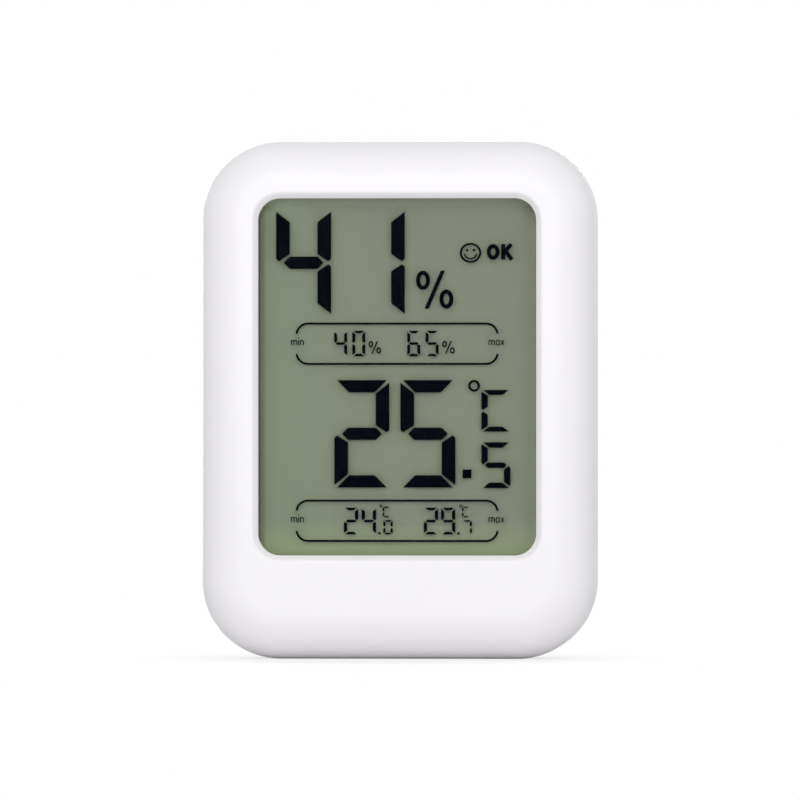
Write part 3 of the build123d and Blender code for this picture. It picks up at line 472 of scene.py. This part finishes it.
def can_capacitor(name):
    """Aluminium can: a dark stripe for the negative side and a pressed cross on its end."""
    finish = Finish(name)
    low, high = (corner / MM for corner in corners_of("filter_capacitor"))
    centre = (low + high) / 2
    across, up = finish.x - centre.x, finish.z - centre.z
    end = finish.y.ramp(high.y - 0.12, high.y - 0.06)
    stripe = (up + 1.0).ramp(-0.05, 0.05, 1.0, 0.0) * end
    cross = across.near(0.0, 0.07, 0.04).larger(up.near(0.0, 0.07, 0.04)) * end
    lines = finish.noise(0.15, 2.0, place=finish.stretched(1.0, 0.05, 1.0))
    metal = finish.mix(lines, (0.62, 0.63, 0.65), (0.74, 0.75, 0.76))
    return finish.set(Base_Color=finish.mix(stripe, metal, (0.02, 0.02, 0.03)),
                      Metallic=1 - stripe, Roughness=lines * 0.2 + 0.2,
                      Normal=finish.relief(lines * 0.1 - cross, 0.06))


def bead_thermistor(name):
    """Resin bead on two tinned leads."""
    finish = Finish(name)
    centre = middle_of("temperature_sensor") / MM
    radius = 1.1
    bead_y = corners_of("temperature_sensor")[1].y / MM - radius
    bead = (finish.y - bead_y).ramp(-1.3, -1.2)
    skin = finish.noise(0.5, 2.0)
    away = finish.about(centre.x, centre.z)
    dull = finish.mix(skin, (0.012, 0.012, 0.012), (0.04, 0.04, 0.045))
    return finish.set(Base_Color=finish.mix(bead, (0.66, 0.65, 0.62), dull), Metallic=1 - bead,
                      Roughness=skin * 0.2 + 0.25 + away * 0.02,
                      Normal=finish.relief(skin, 0.03))


def printed_sleeve(name, colour):
    """Battery film: a blue body, a copper band at the raised end, and plain polarity signs."""
    finish = Finish(name)
    low, high = (corner / MM for corner in corners_of("cell_sleeve"))
    centre = (low + high) / 2
    band_end = high.x - 9.0
    band = finish.x.ramp(band_end - 0.1, band_end + 0.1)
    line = finish.x.near(band_end - 0.6, 0.22)
    up = finish.z - centre.z
    rear = finish.y.ramp(centre.y, centre.y + 0.1)

    def bar(across, half_across, half_above):
        return finish.x.near(across, half_across) * up.near(0.0, half_above)

    arm, half_line = 1.2, 0.32
    plus = bar(high.x - 5.0, arm, half_line).larger(bar(high.x - 5.0, half_line, arm))
    minus = bar(low.x + 4.2, arm, half_line)
    signs = plus.larger(minus) * rear
    foil = finish.noise(0.5, 2.0, place=finish.stretched(0.05, 1.0, 1.0))
    body = finish.mix(foil, tint(colour, 0.93), tint(colour, 1.07))
    copper = finish.mix(foil, (0.61, 0.33, 0.155), (0.67, 0.37, 0.185))
    base = finish.mix(band, body, copper)
    base = finish.mix(line, base, (0.75, 0.75, 0.72))
    return finish.set(Base_Color=finish.mix(signs, base, (0.85, 0.85, 0.82)),
                      Metallic=band * (1 - signs) * 0.8, Roughness=foil * 0.06 + 0.25,
                      Coat_Weight=0.4, Normal=finish.relief(foil, 0.0015))


def insulated_lead(name, colour):
    """Soft insulation with a faint spiral from the extruder."""
    finish = Finish(name)
    skin = finish.noise(0.35, 3.0)
    return finish.set(Base_Color=finish.mix(skin, tint(colour, 0.8), tint(colour, 1.15)),
                      Roughness=skin * 0.15 + 0.42, Normal=finish.relief(skin, 0.01))


def tin_solder(name):
    """Solder: bright and slightly wrinkled."""
    finish = Finish(name)
    skin = finish.noise(0.3, 3.0, 0.6)
    return finish.set(Base_Color=finish.mix(skin, (0.60, 0.59, 0.57), (0.76, 0.75, 0.73)),
                      Metallic=1.0, Roughness=skin * 0.2 + 0.18,
                      Normal=finish.relief(skin, 0.04))


def dress(finish, *nodes):
    """Gives CAD nodes a finish."""
    for name in nodes:
        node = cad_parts[name]
        if not node.material_slots:
            node.data.materials.append(finish.material)
        for slot in node.material_slots:
            slot.material = finish.material


def piece(bm, name, body, finish, sharp=35):
    """Turns a bmesh into a piece of the object that rides on a body."""
    bmesh.ops.remove_doubles(bm, verts=bm.verts, dist=1e-7)
    bmesh.ops.recalc_face_normals(bm, faces=bm.faces)
    mesh = bpy.data.meshes.new(name)
    bm.to_mesh(mesh)
    bm.free()
    mesh.polygons.foreach_set("use_smooth", [True] * len(mesh.polygons))
    mesh.set_sharp_from_angle(angle=radians(sharp))
    mesh.materials.append(finish.material)
    made = bpy.data.objects.new(name, mesh)
    bpy.context.scene.collection.objects.link(made)
    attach(made, body)
    return made


def lathe(bm, profile, centre, axis, segments=24):
    """Spins a line of (radius, height) points round an axis through centre."""
    axis = Vector(axis).normalized()
    side = axis.orthogonal().normalized()
    verts = [bm.verts.new(Vector(centre) + side * radius + axis * height)
             for radius, height in profile]
    edges = [bm.edges.new(pair) for pair in zip(verts, verts[1:])]
    bmesh.ops.spin(bm, geom=verts + edges, cent=centre, axis=axis, angle=2 * pi,
                   steps=segments, use_merge=True)


def strip(bm, outline, low, high):
    """A bent strip: an outline in x and y, drawn out along z."""
    face = bm.faces.new([bm.verts.new((x, y, low)) for x, y in outline])
    far = bmesh.ops.extrude_face_region(bm, geom=[face], use_keep_orig=True)["geom"]
    verts = [part for part in far if isinstance(part, bmesh.types.BMVert)]
    bmesh.ops.translate(bm, verts=verts, vec=(0, 0, high - low))


def add_curve(bm, curve, matrix=Matrix()):
    """Adds the surface of a curve or a word to a bmesh, and removes the curve."""
    holder = bpy.data.objects.new(curve.name, curve)
    mesh = bpy.data.meshes.new_from_object(holder)
    mesh.transform(matrix)
    bm.from_mesh(mesh)
    bpy.data.objects.remove(holder)
    bpy.data.meshes.remove(mesh)
    bpy.data.curves.remove(curve)


def tube(bm, points, radius):
    """Round wire along a smooth line."""
    curve = bpy.data.curves.new("wire_line", "CURVE")
    curve.dimensions, curve.bevel_depth, curve.bevel_resolution = "3D", radius, 3
    curve.use_fill_caps = True
    line = curve.splines.new("NURBS")
    line.points.add(len(points) - 1)
    for point, place in zip(line.points, points):
        point.co = (*place, 1.0)
    line.order_u, line.use_endpoint_u, line.resolution_u = 3, True, 8
    add_curve(bm, curve)


def raised_word(bm, word, height, relief, place):
    """A word that stands proud of a face whose outside is +Y, centred on a place."""
    curve = bpy.data.curves.new("word", "FONT")
    curve.body, curve.size, curve.extrude = word, height / CAPITAL_SHARE, relief / 2
    curve.align_x = "CENTER"
    curve.resolution_u = 4
    moved = Matrix.Translation(Vector(place) + Vector((0, relief / 2, -height / 2)))
    add_curve(bm, curve, moved @ Matrix.Rotation(pi, 4, "Z") @ Matrix.Rotation(pi / 2, 4, "X"))


class SENSOR_OT_case(bpy.types.Operator):
    """Moulded plastic of the shells, the door, the stand and the buttons"""
    bl_idname = "sensor.case"
    bl_label = "Case"

    def execute(self, context):
        colours = context.scene.sensor_colours
        dress(moulded("white_front", colours.shell, 0.14, 0.0022, 0.36, 0.006), "front_shell")
        dress(moulded("white_rear", colours.shell, 0.20, 0.0060, 0.46, 0.010), "rear_shell",
              "battery_door", "kickstand")
        dress(moulded("white_button", colours.shell, 0.12, 0.0020, 0.34, 0.006), "unit_button",
              "memory_button")
        dress(moulded("cream_plastic", (0.62, 0.62, 0.59), 0.25, 0.004, 0.5, 0.03),
              "display_frame")
        return {"FINISHED"}


class SENSOR_OT_display(bpy.types.Operator):
    """Layers of the display: film, glasses, edge resin, figures and reflector"""
    bl_idname = "sensor.display"
    bl_label = "Display"

    def execute(self, context):
        colours = context.scene.sensor_colours
        dress(clear_layer("front_film", (0.004, 0.007, 0.014), 0.02, 0.30, 0.004),
              "display_polariser")
        dress(clear_layer("cell_glass", (0.004, 0.008, 0.008), 0.01, 0.08, 0.0005),
              "display_front_glass", "display_rear_glass")
        dress(moulded("edge_resin", (0.42, 0.44, 0.36), 0.3, 0.004, 0.4, 0.03), "display_seal")
        dress(figure_ink("figure_ink", colours.figures), "digits_large", "digits_small",
              "display_marks")
        dress(silk_reflector("silk_reflector", colours.reflector), "display_reflector")
        dress(rubber_strip("contact_rubber"), "contact_strip")
        return {"FINISHED"}


class SENSOR_OT_board(bpy.types.Operator):
    """Circuit board and the parts on it"""
    bl_idname = "sensor.board"
    bl_label = "Circuit board"

    def execute(self, context):
        colours = context.scene.sensor_colours
        dress(circuit_board("solder_mask", colours.board), "circuit_board")
        dress(epoxy_drop("epoxy_drop"), "chip_cover")
        dress(rolled_metal("crystal_can", (0.72, 0.72, 0.73), 0.24, (0.06, 1.0, 1.0)), "crystal")
        dress(capped_chip("ceramic_tan", "capacitors", (0.42, 0.29, 0.15)), "capacitors")
        dress(capped_chip("ceramic_black", "resistors", (0.02, 0.02, 0.022)), "resistors")
        dress(can_capacitor("aluminium_can"), "filter_capacitor")
        dress(moulded("sensor_block", (0.78, 0.78, 0.74), 0.2, 0.006, 0.55, 0.04),
              "humidity_sensor")
        dress(bead_thermistor("bead_thermistor"), "temperature_sensor")
        dress(moulded("switch_body", (0.022, 0.022, 0.024), 0.2, 0.006, 0.5, 0.2),
              "unit_switch", "memory_switch")
        dress(moulded("switch_plunger", (0.045, 0.045, 0.05), 0.12, 0.003, 0.4, 0.2),
              "unit_switch_plunger", "memory_switch_plunger")
        dress(zinc_screw("board_screw", "board_screws", 1.1, 0.5), "board_screws")
        dress(zinc_screw("case_screw", "case_screws", 1.3, 0.65), "case_screws")
        return {"FINISHED"}


class SENSOR_OT_power(bpy.types.Operator):
    """Battery, contacts, leads, magnets and the stand's pin"""
    bl_idname = "sensor.power"
    bl_label = "Battery and metal parts"

    def execute(self, context):
        colours = context.scene.sensor_colours
        dress(rolled_metal("cell_steel", (0.72, 0.72, 0.71), 0.26), "cell_can")
        dress(printed_sleeve("printed_sleeve", colours.sleeve), "cell_sleeve")
        dress(rolled_metal("nickel_sheet", (0.70, 0.68, 0.64), 0.24), "positive_contact",
              "negative_contact")
        dress(insulated_lead("red_lead", (0.46, 0.012, 0.012)), "positive_wire")
        dress(insulated_lead("black_lead", (0.016, 0.016, 0.017)), "negative_wire")
        dress(rolled_metal("nickel_magnet", (0.74, 0.73, 0.72), 0.18, (1.0, 0.1, 1.0)), "magnets")
        dress(rolled_metal("pin_steel", (0.60, 0.60, 0.60), 0.26, (0.05, 1.0, 1.0)), "stand_pin")
        return {"FINISHED"}


class SENSOR_OT_spring(bpy.types.Operator):
    """Cone-shaped contact spring of round wire, its end turns lying flat"""
    bl_idname = "sensor.spring"
    bl_label = "Contact spring"

    def execute(self, context):
        sizes = context.scene.sensor_sizes
        low, high = corners_of("contact_spring")
        centre, length = (low + high) / 2, high.x - low.x
        wire, wide = sizes.spring_wire, (high.z - low.z) / 2
        narrow = wide * 0.72
        flat_turns, steps_per_turn = 0.75, 28
        flat_rise = 2.1 * wire * flat_turns
        free_rise = length - 2 * wire - 2 * flat_rise
        bm = bmesh.new()
        start = Vector((low.x + wire, centre.y, centre.z + wide - wire))
        bmesh.ops.create_circle(bm, segments=10, radius=wire, matrix=Matrix.Translation(start)
                                @ Matrix.Rotation(pi / 2, 4, "X"))
        last = bm.verts[:] + bm.edges[:]
        for turns, rise in ((flat_turns, flat_rise), (sizes.spring_turns, free_rise),
                            (flat_turns, flat_rise)):
            steps = int(turns * steps_per_turn)
            spun = bmesh.ops.spin(bm, geom=last, cent=centre, axis=(1, 0, 0),
                                  dvec=(rise / steps, 0, 0), angle=turns * 2 * pi, steps=steps)
            last = spun["geom_last"]
        for vert in bm.verts:
            outwards = Vector((0, vert.co.y - centre.y, vert.co.z - centre.z)).normalized()
            vert.co -= outwards * (wide - narrow) * (vert.co.x - low.x) / length
        ends = [edge for edge in bm.edges if edge.is_boundary]
        bmesh.ops.holes_fill(bm, edges=ends, sides=0)
        finish = rolled_metal("spring_wire", (0.70, 0.68, 0.64), 0.24, (1.0, 0.2, 0.2))
        spring = piece(bm, "contact_coil", "case", finish)
        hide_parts("contact_spring")
        return {"FINISHED"}


class SENSOR_OT_solder(bpy.types.Operator):
    """Solder joints of the two leads, the sensor and the crystal"""
    bl_idname = "sensor.solder"
    bl_label = "Solder joints"

    def execute(self, context):
        foot = context.scene.sensor_sizes.solder_radius
        joint = ((0, 0), (1, 0), (0.66, 0.14), (0.5, 0.45), (0.44, 0.95), (0, 0.95))
        blob = ((0, 0.9), (0.42, 0.72), (0.62, 0.2), (0.6, -0.3), (0.46, -0.8), (0, -0.8))
        bm = bmesh.new()
        board = corners_of("circuit_board")[1].y
        spots = []
        for node in ("positive_wire", "negative_wire"):
            tail, end = wire_ends(node)
            lathe(bm, [(radius * MM, height * MM) for radius, height in blob], tail, (0, 0, 1))
            spots.append((end.x, end.z, foot))
        bead = middle_of("temperature_sensor")
        spots += [(bead.x + side * 0.55 * MM, bead.z, foot * 0.5) for side in (-1, 1)]
        crystal = corners_of("crystal")
        spots += [(crystal[1].x + CRYSTAL_REACH, (crystal[0].z + crystal[1].z) / 2
                   + side * CRYSTAL_HALF_PITCH, foot * 0.48) for side in (-1, 1)]
        for x, z, size in spots:
            lathe(bm, [(radius * size, height * size) for radius, height in joint],
                  (x, board, z), (0, 1, 0))
        piece(bm, "solder_joints", "case", tin_solder("tin_solder"), 60)
        return {"FINISHED"}


class SENSOR_OT_legs(bpy.types.Operator):
    """Tinned legs of the switches, the humidity sensor and the crystal"""
    bl_idname = "sensor.legs"
    bl_label = "Legs"

    def execute(self, context):
        bm = bmesh.new()
        thick, reach, rise = 0.18 * MM, 0.85 * MM, 1.1 * MM
        line = ((0, 0), (reach, 0), (reach, thick), (thick, thick), (thick, rise), (0, rise))
        board = corners_of("circuit_board")[1].y
        for node, offsets, width in (("unit_switch", (-1.55, 1.55), 0.7),
                                     ("memory_switch", (-1.55, 1.55), 0.7),
                                     ("humidity_sensor", (-1.9, -0.63, 0.63, 1.9), 0.42)):
            low, high = corners_of(node)
            for side, wall in ((-1, low.x), (1, high.x)):
                outline = [(wall + side * x, board + y) for x, y in line]
                for offset in offsets:
                    middle = (low.z + high.z) / 2 + offset * MM
                    half = width * MM / 2
                    strip(bm, outline, middle - half, middle + half)
        low, high = corners_of("crystal")
        axis_y, axis_z = (low.y + high.y) / 2, (low.z + high.z) / 2
        for side in (-1, 1):
            z, out = axis_z + side * CRYSTAL_HALF_PITCH, high.x + CRYSTAL_REACH
            tube(bm, ((high.x - 0.1 * MM, axis_y, z), (high.x + 0.5 * MM, axis_y, z),
                      (out, axis_y, z), (out, axis_y - 0.3 * MM, z), (out, board, z)),
                 0.17 * MM)
        piece(bm, "tinned_legs", "case", tin_solder("tinned_leg"))
        return {"FINISHED"}


class SENSOR_OT_covers(bpy.types.Operator):
    """Pressed steel covers of the two switches, each with a round hole and four rivets"""
    bl_idname = "sensor.covers"
    bl_label = "Switch covers"

    def execute(self, context):
        thick = context.scene.sensor_sizes.cover_thickness
        sides, hole_share, rivet_share = 32, 0.6, 0.76
        dome = ((0.0, 0.13), (0.16, 0.11), (0.29, 0.05), (0.33, 0.0), (0.0, 0.0))
        bm = bmesh.new()
        for node in ("unit_switch", "memory_switch"):
            low, high = corners_of(node)
            centre, half = (low + high) / 2, (high.x - low.x) / 2
            turned = Matrix.Translation((centre.x, high.y, centre.z)) \
                @ Matrix.Rotation(-pi / 2, 4, "X")
            hole, rim = [
                bmesh.ops.create_circle(bm, segments=sides, radius=radius,
                                        matrix=Matrix.Rotation(pi / sides, 4, "Z"))["verts"]
                for radius in (half * hole_share, half)]
            for vert in rim:
                vert.co *= half / max(abs(vert.co.x), abs(vert.co.y))
            edges = {edge for vert in hole + rim for edge in vert.link_edges}
            flat = bmesh.ops.bridge_loops(bm, edges=list(edges))["faces"]
            raised = bmesh.ops.extrude_face_region(bm, geom=flat, use_keep_orig=True)["geom"]
            lifted = [part for part in raised if isinstance(part, bmesh.types.BMVert)]
            bmesh.ops.translate(bm, verts=lifted, vec=(0, 0, thick))
            bmesh.ops.transform(bm, matrix=turned, verts=hole + rim + lifted)
            for side_x in (-1, 1):
                for side_z in (-1, 1):
                    spot = (centre.x + side_x * half * rivet_share, high.y + thick,
                            centre.z + side_z * half * rivet_share)
                    lathe(bm, [(radius * MM, height * MM) for radius, height in dome], spot,
                          (0, 1, 0), 16)
        finish = rolled_metal("cover_steel", (0.62, 0.62, 0.62), 0.3, (0.1, 1.0, 1.0))
        piece(bm, "switch_covers", "case", finish)
        return {"FINISHED"}


class SENSOR_OT_marks(bpy.types.Operator):
    """Printed signs: letters below the buttons, an arrow on the door, words on the cell"""
    bl_idname = "sensor.marks"
    bl_label = "Printed marks"

    def execute(self, context):
        sizes = context.scene.sensor_sizes
        finish = moulded("printed_grey", context.scene.sensor_colours.marks, 0.1, 0.001, 0.5)
        face, below = corners_of("rear_shell")[1].y, 5.5 * MM
        bm = bmesh.new()
        for node, word in (("unit_button", "\u00b0C/\u00b0F"), ("memory_button", "min/max")):
            button = middle_of(node)
            raised_word(bm, word, sizes.letter_height, sizes.mark_height,
                        (button.x, face, button.z - below))
        piece(bm, "button_letters", "case", finish)
        bm = bmesh.new()
        low, high = corners_of("battery_door")
        foot, middle = high.z - 8.2 * MM, (low.x + high.x) / 2
        across, up = 1.5 * MM, 1.9 * MM
        verts = [bm.verts.new((middle + x * across, high.y, foot + z * up))
                 for x, z in ((-1, 1), (1, 1), (0, 0))]
        top = bmesh.ops.extrude_face_region(bm, geom=[bm.faces.new(verts)],
                                            use_keep_orig=True)["geom"]
        lifted = [part for part in top if isinstance(part, bmesh.types.BMVert)]
        bmesh.ops.translate(bm, verts=lifted, vec=(0, sizes.mark_height, 0))
        piece(bm, "door_arrow", "door", finish)
        self.cell_words()
        return {"FINISHED"}

    @staticmethod
    def cell_words():
        """The cell's size and voltage, bent round its sleeve."""
        low, high = corners_of("cell_sleeve")
        centre, radius = (low + high) / 2, (high.z - low.z) / 2
        height, relief = 2.8 * MM, 0.03 * MM
        bm = bmesh.new()
        raised_word(bm, "AAA  1.5 V", height, relief,
                    (centre.x - 2.0 * MM, high.y, centre.z + height / 2))
        bmesh.ops.subdivide_edges(bm, edges=bm.edges, cuts=3, use_grid_fill=True)
        for vert in bm.verts:
            angle, reach = (vert.co.z - centre.z) / radius, vert.co.y - centre.y
            vert.co.y = centre.y + reach * cos(angle)
            vert.co.z = centre.z + reach * sin(angle)
        piece(bm, "cell_words", "case",
              moulded("printed_white", (0.85, 0.85, 0.82), 0.1, 0.001, 0.35))


class SENSOR_OT_stage(bpy.types.Operator):
    """Pale floor, soft lamps, a pale room and the camera"""
    bl_idname = "sensor.stage"
    bl_label = "Stage"

    def execute(self, context):
        stage = context.scene.sensor_stage
        target = Vector((0, 0, stage.look_height))
        self.floor()
        self.world(stage.room_light)
        for name, place, size in LAMPS:
            self.lamp(name, place, target, size, getattr(stage, name + "_power"))
        away = Vector((sin(stage.turn), -cos(stage.turn), 0)) * stage.distance
        camera = bpy.data.cameras.new("camera")
        camera.lens = camera.sensor_width * stage.distance / stage.frame_width
        camera.clip_start, camera.clip_end = 0.01, 50.0
        seat = bpy.data.objects.new("camera", camera)
        seat.location = target + away
        seat.rotation_euler = (-away).to_track_quat("-Z", "Y").to_euler()
        context.scene.collection.objects.link(seat)
        context.scene.camera = seat
        context.scene.view_settings.view_transform = "Standard"
        context.scene.cycles.transparent_max_bounces = 32
        return {"FINISHED"}

    @staticmethod
    def floor():
        """A pale floor, white to the camera away from the object and shaded near it."""
        bm = bmesh.new()
        bmesh.ops.create_grid(bm, x_segments=2, y_segments=2, size=3.0)
        mesh = bpy.data.meshes.new("floor")
        bm.to_mesh(mesh)
        bm.free()
        floor = bpy.data.objects.new("floor", mesh)
        bpy.context.scene.collection.objects.link(floor)
        finish = Finish("pale_floor")
        grain = finish.noise(40.0, 2.0)
        finish.set(Base_Color=finish.mix(grain, (0.80, 0.80, 0.80), (0.83, 0.83, 0.83)),
                   Roughness=0.9)
        seen = finish.node("ShaderNodeLightPath").out("Is Camera Ray")
        white = finish.node("ShaderNodeEmission", {}, {"Color": (1.0, 1.0, 1.0),
                                                       "Strength": 1.0})
        surface = Value(finish, finish.surface, finish.surface.outputs[0])
        share = (finish.x * finish.x + finish.y * finish.y).root().ramp(18.0, 42.0, 0.7, 1.0)
        both = finish.node("ShaderNodeMixShader", {}, (seen * share, surface, white))
        output = next(node for node in finish.tree.nodes if node.type == "OUTPUT_MATERIAL")
        finish.feed(output.inputs["Surface"], both)
        mesh.materials.append(finish.material)

    @staticmethod
    def world(strength):
        """A white room to camera, glossy and transmission rays, and a dimmer one as a light."""
        world = bpy.data.worlds.new("pale_room")
        bpy.context.scene.world = world
        world.use_nodes = True
        tree = world.node_tree
        background = tree.nodes["Background"]
        background.inputs["Color"].default_value = (1.0, 1.0, 1.0, 1.0)
        rays = tree.nodes.new("ShaderNodeLightPath").outputs
        white = rays["Is Camera Ray"]
        for kind in ("Is Glossy Ray", "Is Transmission Ray"):
            either = tree.nodes.new("ShaderNodeMath")
            either.operation = "MAXIMUM"
            tree.links.new(white, either.inputs[0])
            tree.links.new(rays[kind], either.inputs[1])
            white = either.outputs[0]
        level = tree.nodes.new("ShaderNodeMapRange")
        level.inputs["To Min"].default_value = strength
        level.inputs["To Max"].default_value = 1.0
        tree.links.new(white, level.inputs["Value"])
        tree.links.new(level.outputs[0], background.inputs["Strength"])

    @staticmethod
    def lamp(name, place, target, size, power):
        """A round lamp at a place, aimed at a target."""
        light = bpy.data.lights.new(name, "AREA")
        light.shape, light.size, light.energy = "DISK", size, power
        lamp = bpy.data.objects.new(name, light)
        lamp.location = place
        lamp.rotation_euler = (target - Vector(place)).to_track_quat("-Z", "Y").to_euler()
        bpy.context.scene.collection.objects.link(lamp)


class SENSOR_PT_panel(bpy.types.Panel):
    """Sizes, colours and light of the sensor"""
    bl_label = "Sensor"
    bl_space_type = "VIEW_3D"
    bl_region_type = "UI"
    bl_category = "Sensor"

    def draw(self, context):
        for group in (context.scene.sensor_colours, context.scene.sensor_sizes,
                      context.scene.sensor_stage):
            box = self.layout.box()
            for name in group.__annotations__:
                box.prop(group, name)
        for operator in OPERATORS:
            self.layout.operator(operator.bl_idname)


GROUPS = {"sensor_colours": SensorColours, "sensor_sizes": SensorSizes,
          "sensor_stage": SensorStage}
OPERATORS = (SENSOR_OT_stage, SENSOR_OT_case, SENSOR_OT_display, SENSOR_OT_board,
             SENSOR_OT_power, SENSOR_OT_spring, SENSOR_OT_solder, SENSOR_OT_legs,
             SENSOR_OT_covers, SENSOR_OT_marks)


def register():
    for cls in (*GROUPS.values(), *OPERATORS, SENSOR_PT_panel):
        bpy.utils.register_class(cls)
    for name, cls in GROUPS.items():
        setattr(bpy.types.Scene, name, bpy.props.PointerProperty(type=cls))


def unregister():
    for name in GROUPS:
        delattr(bpy.types.Scene, name)
    for cls in (SENSOR_PT_panel, *reversed(OPERATORS), *GROUPS.values()):
        bpy.utils.unregister_class(cls)


def main():
    register()
    for operator in OPERATORS:
        group, name = operator.bl_idname.split(".")
        getattr(getattr(bpy.ops, group), name)()


if __name__ == "__main__":
    main()
